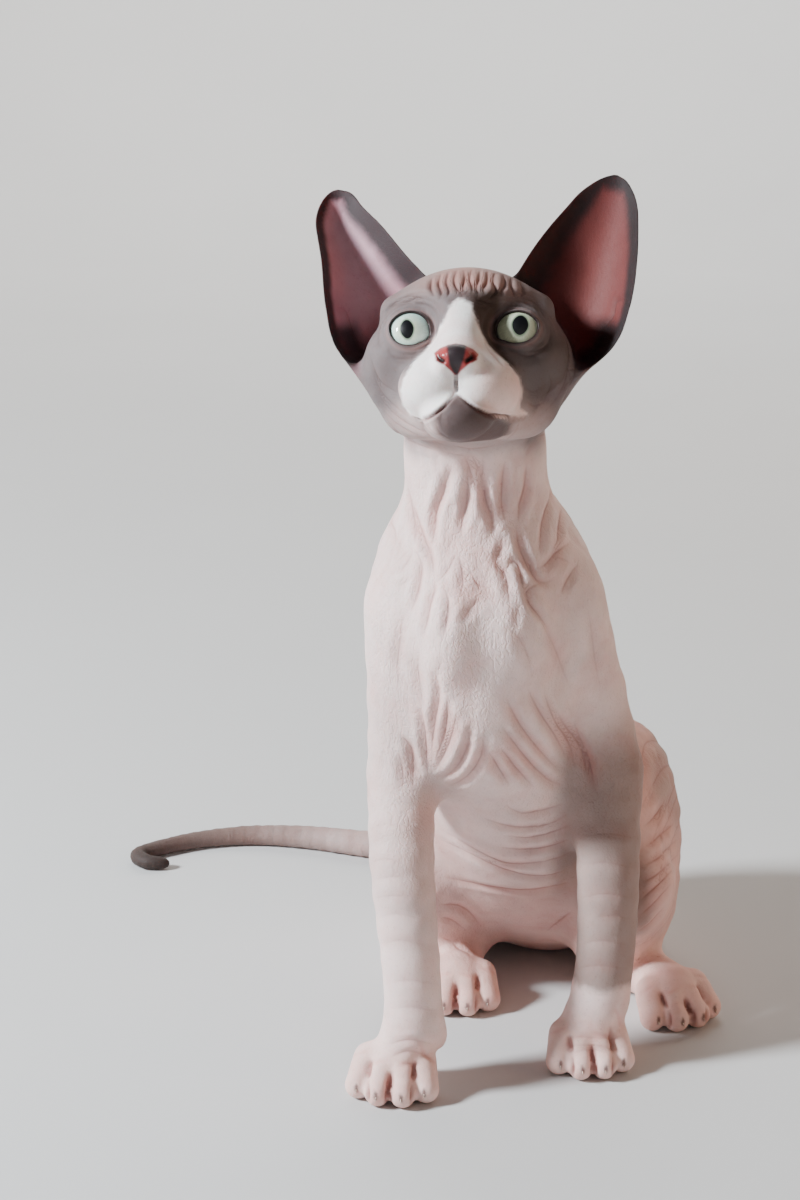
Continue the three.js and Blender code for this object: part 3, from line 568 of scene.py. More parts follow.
def body_with(ear_extra):
    """The field of the whole body, with ears as thick as asked; it is cut flat above the floor."""
    forms = BODY_FORMS + [(ear_form(side, ear_extra), EAR_BLEND) for side in EAR_EDGES]

    def field(points):
        value, slopes = melt(forms, points)
        under = FLOOR_SKIN - points[:, 2]
        cut = under > value
        return np.where(cut, under, value), np.where(cut[:, None], [0.0, 0.0, -1.0], slopes)

    return field


skin_field = body_with(0.0)
thick_field = body_with(THICK_EAR)

# %% [markdown]
# ## From field to mesh
#
# The field is sampled on a lattice. Every cell that the skin passes through gets one vertex, at
# the mean of the places where the skin crosses the cell's edges, and every crossed edge gets
# one four-sided face from the cells around it. That is the method called surface nets. It is
# done with whole arrays: the twelve edges of all cells at once.

# %% Surface nets
BLOCK = 4
BLOCK_REACH = 4.4


def lattice_mesh(field, low, high, step):
    """Vertices and quads of the surface where the field is zero, one vertex in each crossed cell.

    The field is first sampled on every fourth lattice point, and then only at those lattice
    points whose coarse neighbour is near the surface.
    """
    axes = [np.arange(low[i], high[i] + step, step) for i in range(3)]
    axes = [axis[:len(axis) // BLOCK * BLOCK] for axis in axes]
    shape = tuple(len(axis) for axis in axes)
    coarse = [axis[BLOCK // 2::BLOCK] for axis in axes]
    coarse_points = np.stack(np.meshgrid(*coarse, indexing="ij"), axis=-1)
    coarse_value = field(coarse_points.reshape(-1, 3))[0].reshape(coarse_points.shape[:3])
    spread = coarse_value
    for axis in range(3):
        spread = np.repeat(spread, BLOCK, axis=axis)
    value = spread.copy()
    near = np.argwhere(np.abs(spread) < BLOCK_REACH * step)
    value[tuple(near.T)] = field(np.array(low) + near * step)[0]
    inside = value < 0
    cells = tuple(n - 1 for n in shape)
    total = np.zeros(cells + (3,))
    count = np.zeros(cells)
    for axis in range(3):
        lower = [slice(None)] * 3
        upper = [slice(None)] * 3
        lower[axis], upper[axis] = slice(0, -1), slice(1, None)
        a, b = value[tuple(lower)], value[tuple(upper)]
        crossed = (a < 0) != (b < 0)
        share = np.where(crossed, a / np.where(crossed, a - b, 1), 0)
        for j in range(2):
            for k in range(2):
                part = [slice(None)] * 3
                part[(axis + 1) % 3] = slice(j, j + cells[(axis + 1) % 3])
                part[(axis + 2) % 3] = slice(k, k + cells[(axis + 2) % 3])
                here = crossed[tuple(part)]
                total[..., axis] += np.where(here, share[tuple(part)], 0)
                total[..., (axis + 1) % 3] += np.where(here, j, 0)
                total[..., (axis + 2) % 3] += np.where(here, k, 0)
                count += here
    used = count > 0
    number = np.full(cells, -1)
    number[used] = np.arange(used.sum())
    corner = np.argwhere(used)
    vertices = np.array(low) + (corner + total[used] / count[used][:, None]) * step
    quads = []
    for axis in range(3):
        lower = [slice(1, -1)] * 3
        upper = [slice(1, -1)] * 3
        lower[axis], upper[axis] = slice(0, -1), slice(1, None)
        crossed = inside[tuple(lower)] != inside[tuple(upper)]
        place = np.argwhere(crossed)
        offset = np.ones(3, int)
        offset[axis] = 0
        place = place + offset
        ring = []
        for j, k in ((0, 0), (1, 0), (1, 1), (0, 1)):
            cell = place.copy()
            cell[:, (axis + 1) % 3] -= j
            cell[:, (axis + 2) % 3] -= k
            ring.append(number[tuple(cell.T)])
        ring = np.stack(ring, axis=1)
        flip = ~inside[tuple(place.T)]
        ring[flip] = ring[flip][:, ::-1]
        quads.append(ring)
    return vertices, np.vstack(quads)


def round_faces(grid):
    """Triangles between the rows of a grid whose columns go round."""
    a, b = grid[:-1], grid[1:]
    a_next, b_next = np.roll(a, -1, axis=1), np.roll(b, -1, axis=1)
    return np.concatenate([np.stack(corners, axis=-1).reshape(-1, 3)
                           for corners in ((a, b, b_next), (a, b_next, a_next))])


def fan(hub, ring):
    """Triangles from one vertex to each step of a ring."""
    return np.stack([np.full(len(ring), hub), ring, np.roll(ring, -1)], axis=1)


def onto_skin(field, points, passes=2, most=1.2):
    """Newton steps: move against the slope by value over squared slope, held to a limit."""
    for _ in range(passes):
        value, slopes = field(points)
        square = np.maximum((slopes ** 2).sum(axis=1), 0.15)
        points = points - np.clip(value / square, -most, most)[:, None] * slopes
    return points


# %% Coarse skin
LATTICE_STEP = 2.3
skin_low = np.array([-114.0, -30.0, -5.0])
skin_high = np.array([122.0, 240.0, 296.0])
vertices, quads = lattice_mesh(thick_field, skin_low, skin_high, LATTICE_STEP)
diagonal = [np.linalg.norm(vertices[quads[:, i]] - vertices[quads[:, i + 2]], axis=1) for i in (0, 1)]
short = (diagonal[0] <= diagonal[1])[:, None, None]
triangles = np.where(short, quads[:, [[0, 1, 2], [0, 2, 3]]], quads[:, [[1, 2, 3], [1, 3, 0]]]).reshape(-1, 3)
print("coarse skin:", len(vertices), "vertices,", len(triangles), "triangles")

# %% [markdown]
# ## Finer where it matters
#
# A face needs vertices half a millimetre apart, a back does not. So every edge that is longer
# than the region's target is halved, and each triangle is divided to match: into four when two
# or three of its edges are marked, into two when one is. After each round the new vertices are
# evened out along the skin and drawn back onto it.

# %% Edge targets
FINE_SPOTS = [
    # place in the head frame (both sides), radius, edge length
    ([0, -17, -17], 8.5, 0.45),
    ([4, -14, -26], 7, 0.55),
    ([12, -7, -28], 7, 0.6),
    ([15, 2, -1], 13, 0.7),
    ([4, 3, 14], 12, 0.65),
    ([0, -8, -22], 17, 0.8),
    ([22, 12, 2], 10, 0.9),
]
HEAD_EDGE, EAR_EDGE, NECK_EDGE, CHEST_EDGE = 1.35, 1.45, 1.25, 1.4
LEG_EDGE, PAW_EDGE, TAIL_EDGE, BACK_EDGE = 1.65, 0.88, 2.1, 2.8
TURNED_AWAY = 1.7
PAW_HEIGHT, PAW_ROUND = 7.0, 18


def edge_target(points, turned_away):
    """The shortest target of all the regions that a point is in, longer on the far side."""
    x, y, z = points.T
    target = np.full(len(points), BACK_EDGE)

    def region(where, edge):
        target[where] = np.minimum(target[where], edge)

    local = into_head(points)
    local[:, 0] = np.abs(local[:, 0])
    region(z > 196, HEAD_EDGE)
    region((local[:, 2] > 10) & (local[:, 0] > 9) & (z > 225), EAR_EDGE)
    region((z > 163) & (z < 212), NECK_EDGE)
    region((z > 92) & (z < 168) & (y < 64), CHEST_EDGE)
    region((z < 100) & ((y < 84) | ((x > 84) & (y < 150))), LEG_EDGE)
    region(z < 30, TAIL_EDGE)
    target[turned_away] *= TURNED_AWAY
    for place, radius, edge in FINE_SPOTS:
        region(np.linalg.norm(local - np.array(place, float), axis=1) < radius, edge)
    for at, _, _ in PAWS:
        region(np.linalg.norm(points - [at[0], at[1] - 2, PAW_HEIGHT], axis=1) < PAW_ROUND, PAW_EDGE)
    return target


def normals_of(vertices, triangles):
    """Unit normals of the vertices, from the areas and directions of their triangles."""
    a, b, c = (vertices[triangles[:, k]] for k in range(3))
    face = np.cross(b - a, c - a)
    total = np.zeros_like(vertices)
    for k in range(3):
        for axis in range(3):
            total[:, axis] += np.bincount(triangles[:, k], face[:, axis], minlength=len(vertices))
    return unit(total)


def edges_of(triangles, count):
    """Every edge once, and for each triangle the numbers of its three edges."""
    ends = np.sort(triangles[:, [[0, 1], [1, 2], [2, 0]]], axis=2).reshape(-1, 2)
    keys, inverse = np.unique(ends[:, 0].astype(np.int64) * count + ends[:, 1], return_inverse=True)
    return np.stack([keys // count, keys % count], axis=1), inverse.reshape(-1, 3)


def refine(vertices, triangles, target, slack=1.35):
    """Halve long edges; a triangle with two or three halved edges becomes four, with one, two."""
    edges, of_triangle = edges_of(triangles, len(vertices))
    ends = vertices[edges]
    length = np.linalg.norm(ends[:, 0] - ends[:, 1], axis=1)
    turned_away = normals_of(vertices, triangles)[edges][:, :, 1].sum(axis=1) > 0.5
    halved = length > slack * target(ends.mean(axis=1), turned_away)
    while True:
        marks = halved[of_triangle].sum(axis=1)
        if not (marks == 2).any():
            break
        halved[of_triangle[marks == 2].ravel()] = True
    number = np.full(len(edges), -1)
    number[halved] = len(vertices) + np.arange(halved.sum())
    middle = number[of_triangle]
    split = (middle >= 0).sum(axis=1)
    whole = triangles[split == 0]
    a, b, c = triangles[split == 3].T
    ab, bc, ca = middle[split == 3].T
    fours = np.concatenate([np.stack(corners, axis=1)
                            for corners in ((a, ab, ca), (ab, b, bc), (ca, bc, c), (ab, bc, ca))])
    one, place = triangles[split == 1], middle[split == 1]
    turn = (np.arange(3) + (place >= 0).argmax(axis=1)[:, None]) % 3
    a, b, c = np.take_along_axis(one, turn, axis=1).T
    m = place.max(axis=1)
    twos = np.concatenate([np.stack(corners, axis=1) for corners in ((a, m, c), (m, b, c))])
    return np.vstack([vertices, ends[halved].mean(axis=1)]), np.vstack([whole, fours, twos])


def neighbour_mean(values, edges, count):
    """Mean of the values at the other ends of a vertex's edges."""
    total = np.zeros((count, values.shape[1]))
    for a, b in ((0, 1), (1, 0)):
        for k in range(values.shape[1]):
            total[:, k] += np.bincount(edges[:, a], values[edges[:, b], k], minlength=count)
    return total / np.maximum(np.bincount(edges.ravel(), minlength=count), 1)[:, None]


def even_out(field, vertices, triangles, passes=2):
    """Move each vertex half way to its neighbours' mean, along the skin only, then onto the skin."""
    edges, _ = edges_of(triangles, len(vertices))
    for _ in range(passes):
        normal = unit(field(vertices)[1])
        move = (neighbour_mean(vertices, edges, len(vertices)) - vertices) * 0.5
        vertices = vertices + move - (move * normal).sum(axis=1)[:, None] * normal
        vertices = onto_skin(field, vertices, 1)
    return vertices


# %% Fine skin
vertices = onto_skin(thick_field, vertices, 1)
vertices = onto_skin(skin_field, vertices, 2, 0.9)
for round_number in range(3):
    vertices, triangles = refine(vertices, triangles, edge_target)
    vertices = onto_skin(skin_field, vertices, 2)
    vertices = even_out(skin_field, vertices, triangles, 1)
    print("round", round_number + 1, ":", len(vertices), "vertices,", len(triangles), "triangles")
vertices = onto_skin(skin_field, vertices, 1)

# %% [markdown]
# ## Lids
#
# Lids are rings, so they are made as rings. In front of each eyeball a round piece of the mesh
# is cut away, and a grid takes its place: one parameter goes round the eye, the other outward
# from the edge of the lids. Each point of the grid is carried straight back, as seen from in
# front, until it meets the skin. The edge is rounded over and turned in against the eyeball,
# and closed out of sight behind it.

# %% Lids
OPENING = {"right": (5.75, 5.1), "left": (5.95, 4.85)}
LID_COUNT, LID_RINGS, LID_CROWDING = 128, 13, 1.2
LID_PATCH = 9.4
# A march to the skin goes four fifths of the field's value at a time, and may step back a little
STEP_SHARE, STEP_BACK = 0.8, -0.5
BEFORE_FACE, LID_STEPS, LID_LEAP = -34.0, 70, 2.5
# Each turned-in ring: how far inside the edge it lies, how far behind it, or else how far from
# the eye's middle
TURNED_IN = [(2.6, 0, 7.9), (1.2, 0, 8.1), (0.42, 0, 8.36), (0.42, 0.55, 0), (0.14, 0.14, 0)]


def eye_middle(side):
    """Middle of an eye in the head's frame; the right one is mirrored."""
    return EYE_CENTRE * ([1, 1, 1] if side == "left" else [-1, 1, 1])


def opening_radius(side, angle):
    """Half width of the gap between the lids: an ellipse, drawn out a little at both corners."""
    wide, high = OPENING[side]
    inner, outer = (math.pi + 0.42, 0.3) if side == "left" else (-0.42, math.pi - 0.3)
    ellipse = 1 / np.sqrt((np.cos(angle) / wide) ** 2 + (np.sin(angle) / high) ** 2)
    drawn_in = 0.10 * np.exp((np.cos(angle - inner) - 1) * 26)
    drawn_out = 0.04 * np.exp((np.cos(angle - outer) - 1) * 22)
    return ellipse * (1 + drawn_in + drawn_out)


def from_front(local):
    """Carry points of the head frame straight back from in front of the face to the skin."""
    points = local.copy()
    points[:, 1] = BEFORE_FACE
    for _ in range(LID_STEPS):
        value = skin_field(from_head(points))[0]
        points[:, 1] += np.clip(value * STEP_SHARE, STEP_BACK, LID_LEAP)
    return points


def zip_loops(inner, inner_angle, outer, outer_angle):
    """Triangles between two rings of vertices, taken in the order of their angles."""
    number = np.concatenate([inner, outer])
    order = np.argsort(np.concatenate([inner_angle, outer_angle]), kind="stable")
    is_inner = (np.arange(len(number)) < len(inner))[order]
    number = number[order]
    place = np.arange(len(number))
    last = []
    for mask in (is_inner, ~is_inner):
        seen = np.maximum.accumulate(np.where(mask, place, -1))
        seen[seen < 0] = place[mask][-1]
        last.append(seen)
    before = np.roll(place, 1)
    start = number[np.where(is_inner, last[0][before], last[1][before])]
    across = number[np.where(is_inner, last[1], last[0])]
    faces = np.stack([start, number, across], axis=1)
    faces[~is_inner] = faces[~is_inner][:, ::-1]
    return faces


def lone_edges(triangles):
    """Edges that only one triangle uses."""
    directed = triangles[:, [[0, 1], [1, 2], [2, 0]]].reshape(-1, 2)
    size = directed.max() + 1
    keys = directed[:, 0].astype(np.int64) * size + directed[:, 1]
    back = directed[:, 1].astype(np.int64) * size + directed[:, 0]
    return directed[~np.isin(keys, back)]


def set_lids(side, vertices, triangles):
    """Cut a round piece out of the skin in front of the eye and sew the grid of lid rings in."""
    middle = eye_middle(side)
    offset = into_head(vertices) - middle
    covered = (np.hypot(offset[:, 0], offset[:, 2]) < LID_PATCH + 0.5) & (offset[:, 1] < 6)
    triangles = triangles[~covered[triangles].any(axis=1)]
    angle = np.linspace(-math.pi, math.pi, LID_COUNT, endpoint=False)
    way = np.stack([np.cos(angle), 0 * angle, np.sin(angle)], axis=1)
    edge = opening_radius(side, angle)
    lid_edge = from_front(middle + way * edge[:, None])
    rings = []
    for inside, behind, reach in TURNED_IN:
        ring = lid_edge - way * inside
        ring[:, 1] += behind
        if reach:
            ring[:, 1] = middle[1] - np.sqrt(reach ** 2 - (edge - inside) ** 2)
        rings.append(ring)
    for share in np.linspace(0, 1, LID_RINGS) ** LID_CROWDING:
        rings.append(from_front(middle + way * (edge + (LID_PATCH - edge) * share)[:, None]))
    pole = middle + [[0, -7.6, 0]]
    first = len(vertices)
    vertices = np.vstack([vertices] + [from_head(ring) for ring in rings + [pole]])
    grid = first + np.arange(len(rings) * LID_COUNT).reshape(len(rings), LID_COUNT)
    cut = lone_edges(triangles)
    cut = np.unique(cut[np.hypot(*(into_head(vertices[cut[:, 0]]) - middle)[:, [0, 2]].T) < LID_PATCH + 4])
    cut_offset = into_head(vertices[cut]) - middle
    seam = zip_loops(grid[-1], angle, cut, np.arctan2(cut_offset[:, 2], cut_offset[:, 0]))
    print(side, "eye:", len(cut), "vertices on the cut, gap between lids", 2 * edge[0].round(1), "mm")
    hidden = np.append(grid[:len(TURNED_IN)].ravel(), len(vertices) - 1)
    added = [round_faces(grid), fan(len(vertices) - 1, grid[0]), seam[:, ::-1]]
    return vertices, np.vstack([triangles, *added]), hidden


tucked = np.zeros(0, int)
for side in ("right", "left"):
    vertices, triangles, hidden = set_lids(side, vertices, triangles)
    tucked = np.concatenate([tucked, hidden])
print("skin:", len(vertices), "vertices,", len(triangles), "triangles,",
      len(lone_edges(triangles)), "loose edges")

# %% [markdown]
# ## Folds seen from the front
#
# The skin of a sphynx is a size too large, and its folds make the animal. They could be left to
# chance, as noise, but the real ones follow the body: down the throat, fanned out from the
# armpits, round the belly and over the thigh. So each one is a short curve, given where it is
# seen from the camera and dropped along the line of sight onto the skin. Each group has a
# width and a depth in millimetres, and a fold shorter than thirteen widths is shallower.

# %% Fold curves
FOLDS = {
    "forehead": (0.7, 0.95, [
        [(449, 270), (446, 280), (449, 290), (446, 298)],
        [(457, 269), (454, 278), (457, 287), (462, 293), (463, 300)],
        [(464, 268), (465, 278), (463, 287), (467, 293), (471, 299)],
        [(472, 268), (470, 277), (473, 286), (472, 293)],
        [(480, 268), (480, 277), (477, 286), (479, 292), (476, 299)],
        [(488, 269), (488, 279), (484, 288), (486, 295)],
        [(496, 270), (494, 280), (497, 289), (492, 297), (494, 303)],
        [(504, 272), (506, 282), (502, 291), (505, 298)],
        [(512, 275), (512, 285), (516, 294), (513, 301)],
        [(441, 272), (438, 282), (441, 292), (437, 299)],
        [(432, 276), (430, 286), (433, 296)],
        [(447, 301), (453, 298), (459, 301)],
        [(474, 301), (482, 299), (490, 303), (498, 305)],
        [(521, 280), (524, 290), (522, 300)],
    ]),
    "brow": (0.8, 0.5, [
        [(384, 324), (386, 310), (396, 303), (410, 302), (422, 306), (427, 313)],
        [(393, 300), (405, 296), (418, 299), (426, 305)],
        [(380, 350), (377, 338), (378, 328), (382, 320)],
        [(502, 310), (508, 302), (521, 297), (534, 300), (542, 308), (546, 318)],
        [(506, 297), (520, 292), (535, 296), (546, 306)],
        [(475, 304), (486, 308), (498, 310)],
        [(550, 320), (552, 332), (548, 344), (538, 350), (525, 352)],
        [(386, 350), (396, 358), (410, 359), (423, 352)],
        [(425, 335), (430, 342), (428, 352)],
        [(484, 332), (488, 345), (498, 358), (508, 368)],
        [(503, 345), (512, 352), (526, 356), (540, 352), (550, 345)],
        [(526, 344), (538, 346), (546, 340)],
    ]),
    "cheek": (0.95, 0.6, [
        [(372, 368), (375, 382), (386, 400), (400, 412), (410, 419)],
        [(375, 390), (385, 406), (400, 421), (418, 431), (435, 438)],
        [(380, 406), (392, 422), (410, 434), (430, 442), (450, 448)],
        [(386, 421), (400, 436), (418, 446), (440, 453)],
        [(369, 355), (375, 375), (382, 385), (398, 394)],
        [(550, 372), (552, 386), (545, 401), (535, 411)],
        [(564, 332), (570, 350), (568, 375), (558, 398), (546, 412)],
        [(576, 350), (576, 368), (570, 390), (559, 412)],
        [(522, 385), (534, 392), (546, 385)],
        [(526, 400), (536, 406), (548, 400)],
        [(560, 420), (550, 432), (535, 438)],
    ]),
    "chin": (1.1, 0.45, [
        [(422, 422), (423, 430), (430, 438), (444, 444)],
        [(427, 421), (429, 430), (436, 436), (450, 442)],
        [(436, 420), (436, 428), (442, 436), (453, 442)],
        [(448, 401), (442, 411), (440, 424), (445, 435)],
        [(509, 419), (510, 426), (506, 436), (492, 444)],
        [(520, 420), (518, 430), (509, 440), (495, 446)],
        [(512, 420), (522, 415), (529, 416)],
        [(450, 446), (470, 450), (490, 448), (505, 444)],
        [(440, 452), (462, 456), (475, 454)],
        [(414, 418), (418, 425), (425, 432)],
    ]),
    "throat": (1.5, 1.7, [
        [(463, 454), (468, 465), (472, 477), (477, 487), (482, 493)],
        [(470, 453), (477, 466), (482, 479), (482, 492)],
        [(453, 466), (446, 482), (441, 497), (434, 515), (433, 533), (431, 552)],
        [(467, 469), (468, 486), (466, 503), (462, 522), (459, 539)],
        [(407, 487), (408, 503), (411, 519), (414, 533), (414, 547)],
        [(409, 496), (414, 514), (418, 529), (424, 545), (430, 559), (434, 577)],
        [(483, 456), (484, 480), (487, 503), (493, 522), (494, 539)],
        [(517, 524), (520, 542), (526, 558), (534, 572), (543, 582), (555, 580)],
        [(502, 536), (503, 547), (497, 561), (498, 574)],
        [(528, 463), (528, 486), (522, 508), (518, 524)],
        [(506, 461), (504, 483), (503, 505), (506, 524)],
    ]),
    "neck": (1.45, 1.15, [
        [(414, 547), (407, 561), (397, 575)],
        [(414, 547), (420, 564), (418, 581), (415, 597), (409, 614)],
        [(434, 577), (433, 589), (428, 603), (424, 624), (421, 641)],
        [(434, 583), (445, 572), (454, 558), (457, 551)],
        [(457, 552), (462, 569), (463, 586), (459, 598)],
        [(394, 563), (403, 555), (410, 549)],
        [(400, 538), (398, 549), (392, 561)],
        [(395, 586), (404, 582), (414, 574)],
        [(496, 541), (498, 558), (506, 574), (509, 591), (510, 608)],
        [(543, 582), (528, 591), (531, 602), (542, 616), (551, 631)],
        [(573, 541), (559, 552), (548, 564), (536, 569)],
        [(554, 555), (562, 559), (571, 563)],
        [(553, 483), (551, 502), (545, 522), (542, 541), (540, 555)],
        [(564, 503), (562, 522), (559, 541), (551, 552)],
        [(502, 563), (506, 569), (514, 561), (520, 566), (523, 581), (528, 597)],
        [(444, 586), (448, 602), (446, 622), (442, 641)],
        [(467, 561), (472, 574), (481, 586), (494, 588)],
        [(522, 602), (517, 616), (519, 630)],
        [(383, 513), (392, 530), (394, 547)],
        [(578, 563), (569, 580), (561, 594)],
        [(481, 597), (472, 608), (461, 624)],
    ]),
    "breast": (1.8, 0.5, [
        [(403, 608), (400, 636), (397, 663), (399, 688)],
        [(419, 647), (417, 669), (420, 691), (423, 708)],
        [(506, 624), (522, 641), (531, 663), (533, 680)],
        [(544, 624), (556, 647), (564, 669), (572, 691)],
        [(589, 608), (594, 636), (597, 663), (601, 688)],
        [(442, 658), (436, 680), (435, 697)],
    ]),
    "armpit": (1.5, 1.6, [
        [(433, 669), (437, 697), (433, 724), (431, 747), (431, 772)],
        [(419, 708), (423, 730), (425, 752), (428, 772)],
        [(400, 736), (409, 747), (413, 763), (414, 788)],
        [(399, 752), (403, 772), (404, 788)],
        [(447, 697), (446, 719), (442, 741), (434, 763)],
        [(457, 713), (451, 736), (442, 758), (433, 774)],
        [(470, 724), (467, 747), (456, 769), (439, 782)],
        [(484, 733), (481, 758), (467, 779), (447, 788)],
        [(500, 724), (517, 747), (539, 772), (556, 784), (566, 786)],
        [(506, 697), (520, 724), (542, 752), (562, 773)],
        [(528, 688), (542, 713), (558, 738), (567, 759)],
        [(544, 691), (556, 719), (569, 741), (575, 769)],
        [(556, 708), (569, 730), (581, 749), (587, 777)],
        [(573, 719), (581, 741), (589, 763), (594, 788)],
        [(500, 747), (517, 770), (534, 787)],
        [(489, 752), (500, 772), (511, 788)],
    ]),
    "belly": (1.5, 1.0, [
        [(439, 829), (458, 841), (481, 854), (505, 864), (531, 865), (558, 859), (575, 851)],
        [(439, 840), (464, 852), (493, 866), (522, 876), (546, 877), (572, 869)],
        [(499, 848), (522, 851), (546, 849), (572, 839)],
        [(505, 836), (528, 839), (552, 834), (572, 824)],
        [(481, 818), (505, 827), (528, 829), (552, 824), (569, 814)],
        [(440, 877), (464, 883), (493, 889), (528, 892), (572, 883)],
        [(440, 905), (458, 907), (472, 916), (481, 927)],
        [(439, 918), (452, 921), (467, 931)],
        [(439, 937), (458, 946), (473, 954)],
        [(572, 912), (558, 924), (546, 933)],
        [(505, 806), (522, 815), (543, 812), (564, 804)],
    ]),
    "haunch": (1.6, 1.3, [
        [(644, 827), (658, 815), (667, 798)],
        [(645, 847), (661, 836), (676, 823)],
        [(645, 865), (661, 856), (679, 839)],
        [(643, 882), (661, 872), (680, 854)],
        [(641, 900), (658, 886), (677, 866)],
        [(639, 918), (655, 904), (672, 883)],
        [(638, 933), (652, 924), (666, 906)],
        [(635, 948), (646, 944), (659, 936)],
        [(634, 961), (643, 958), (649, 954)],
        [(646, 809), (652, 798), (656, 786)],
    ]),
    "foreleg": (1.1, 0.3, [
        [(366, 865), (384, 859), (406, 865)],
        [(371, 899), (393, 896), (414, 898)],
        [(376, 918), (396, 914), (421, 918)],
        [(365, 830), (384, 824), (403, 827)],
        [(372, 880), (393, 877), (411, 879)],
        [(378, 945), (399, 941), (428, 945)],
        [(384, 983), (411, 981), (441, 984)],
        [(384, 1009), (414, 1008), (443, 1011)],
        [(581, 865), (605, 862), (637, 868)],
        [(580, 898), (605, 894), (634, 898)],
        [(593, 918), (614, 916), (631, 919)],
        [(577, 945), (602, 941), (629, 945)],
        [(575, 968), (599, 966), (629, 969)],
        [(584, 836), (608, 833), (640, 839)],
    ]),
    "wrist": (1.1, 0.4, [
        [(564, 1045), (577, 1045), (599, 1046), (624, 1052)],
        [(568, 1054), (590, 1049), (614, 1054)],
        [(572, 1036), (596, 1038), (622, 1039)],
        [(389, 1058), (408, 1052), (425, 1055), (439, 1064)],
        [(396, 1068), (411, 1063), (425, 1066)],
        [(384, 1045), (411, 1041), (437, 1045)],
    ]),
    "pocket": (0.9, 0.6, [
        [(336, 311), (342, 307), (348, 312), (353, 328), (360, 346), (366, 360)],
        [(627, 311), (622, 301), (616, 300), (612, 315), (600, 330), (592, 340)],
    ]),
}
MOUTH = [
    [(457, 393), (449, 400), (438, 410), (427, 418), (419, 420), (410, 418)],
    [(457, 393), (466, 400), (480, 410), (495, 416), (506, 417), (518, 419), (529, 416)],
]
PHILTRUM = [[(456, 374), (456, 383), (457, 393)]]
NOSTRILS = [
    [(446, 363), (440, 360), (436, 356), (437, 352)],
    [(464, 363), (470, 359), (474, 355), (472, 351)],
]
SIGHT_START, SIGHT_STEPS, SIGHT_LEAP = 560.0, 60, 9.0
MET_WITHIN = 0.25


def even_points(line, spacing):
    """Points at even distances along the smooth curve through the given ones."""
    fine = smooth_curve(line, np.linspace(0, 1, 12 * len(line)))
    run = np.append(0, np.cumsum(np.linalg.norm(np.diff(fine, axis=0), axis=1)))
    place = np.linspace(0, run[-1], max(int(run[-1] / spacing), 4) + 1)
    return np.stack([np.interp(place, run, column) for column in fine.T], axis=1)


def meet_skin(points, way):
    """March each point along its direction to the skin, and say whether it met it."""
    travelled = np.zeros(len(points))
    for _ in range(SIGHT_STEPS):
        value = skin_field(points + way * travelled[:, None])[0]
        travelled += np.clip(value * STEP_SHARE, STEP_BACK, SIGHT_LEAP)
    return points + way * travelled[:, None], np.abs(value) < MET_WITHIN


def line_of_sight(pixels):
    """Start and direction of the line through a picture point: ahead, plus its slopes sideways and up."""
    across = (pixels[:, :1] - FRAME_WIDTH / 2) / FOCAL * [[1, 0, 0]]
    way = unit(VIEW_AHEAD + across + (FRAME_HEIGHT / 2 - pixels[:, 1:]) / FOCAL * VIEW_UP)
    return CAMERA_PLACE + way * SIGHT_START, way


def drop_grooves(width, depth, curves, start_and_way, spacing, full_length=0.1):
    """Grooves along curves: all samples are dropped at once, and a curve is cut where it misses.

    A groove runs out at both ends, and one shorter than the full length is shallower. Each is
    its width and depth, the ends of its pieces, and how strong it is at them.
    """
    samples = [even_points(curve, spacing) for curve in curves]
    places, met = meet_skin(*start_and_way(np.vstack(samples)))
    dropped, first = [], 0
    for sample in samples:
        line, good = places[first:first + len(sample)], met[first:first + len(sample)]
        first += len(sample)
        step = np.linalg.norm(np.diff(line, axis=0), axis=1)
        joined = good[1:] & good[:-1] & (step < 3.5 * np.median(step) + 0.3)
        share = np.linspace(0, 1, len(line))
        weight = np.sin(math.pi * share) ** 0.8 * min(1.0, step[joined].sum() / full_length)
        if joined.any():
            dropped.append((width, depth, line[:-1][joined], line[1:][joined],
                            weight[:-1][joined], weight[1:][joined]))
    return dropped


PICTURE_SPACING, MOUTH_SPACING, NOSTRIL_SPACING = 3.0, 1.6, 1.2
ROOM_SPACING, TOE_SPACING = 1.6, 0.8
FULL_LENGTH = 13.0
grooves = []
for width, depth, curves in FOLDS.values():
    grooves += drop_grooves(width, depth, curves, line_of_sight, PICTURE_SPACING, FULL_LENGTH * width)
print(len(grooves), "folds dropped from the camera")

# %% [markdown]
# ## Folds on the sides and the back
#
# The photograph shows one side only. The rest of the skin folds in the same way: in families of
# near-parallel curves behind the shoulder, over the flank and the thigh, round the nape and
# across the back. Each family is two curves, and the ones between them in even steps, each bent
# a little at random so that no two are alike.

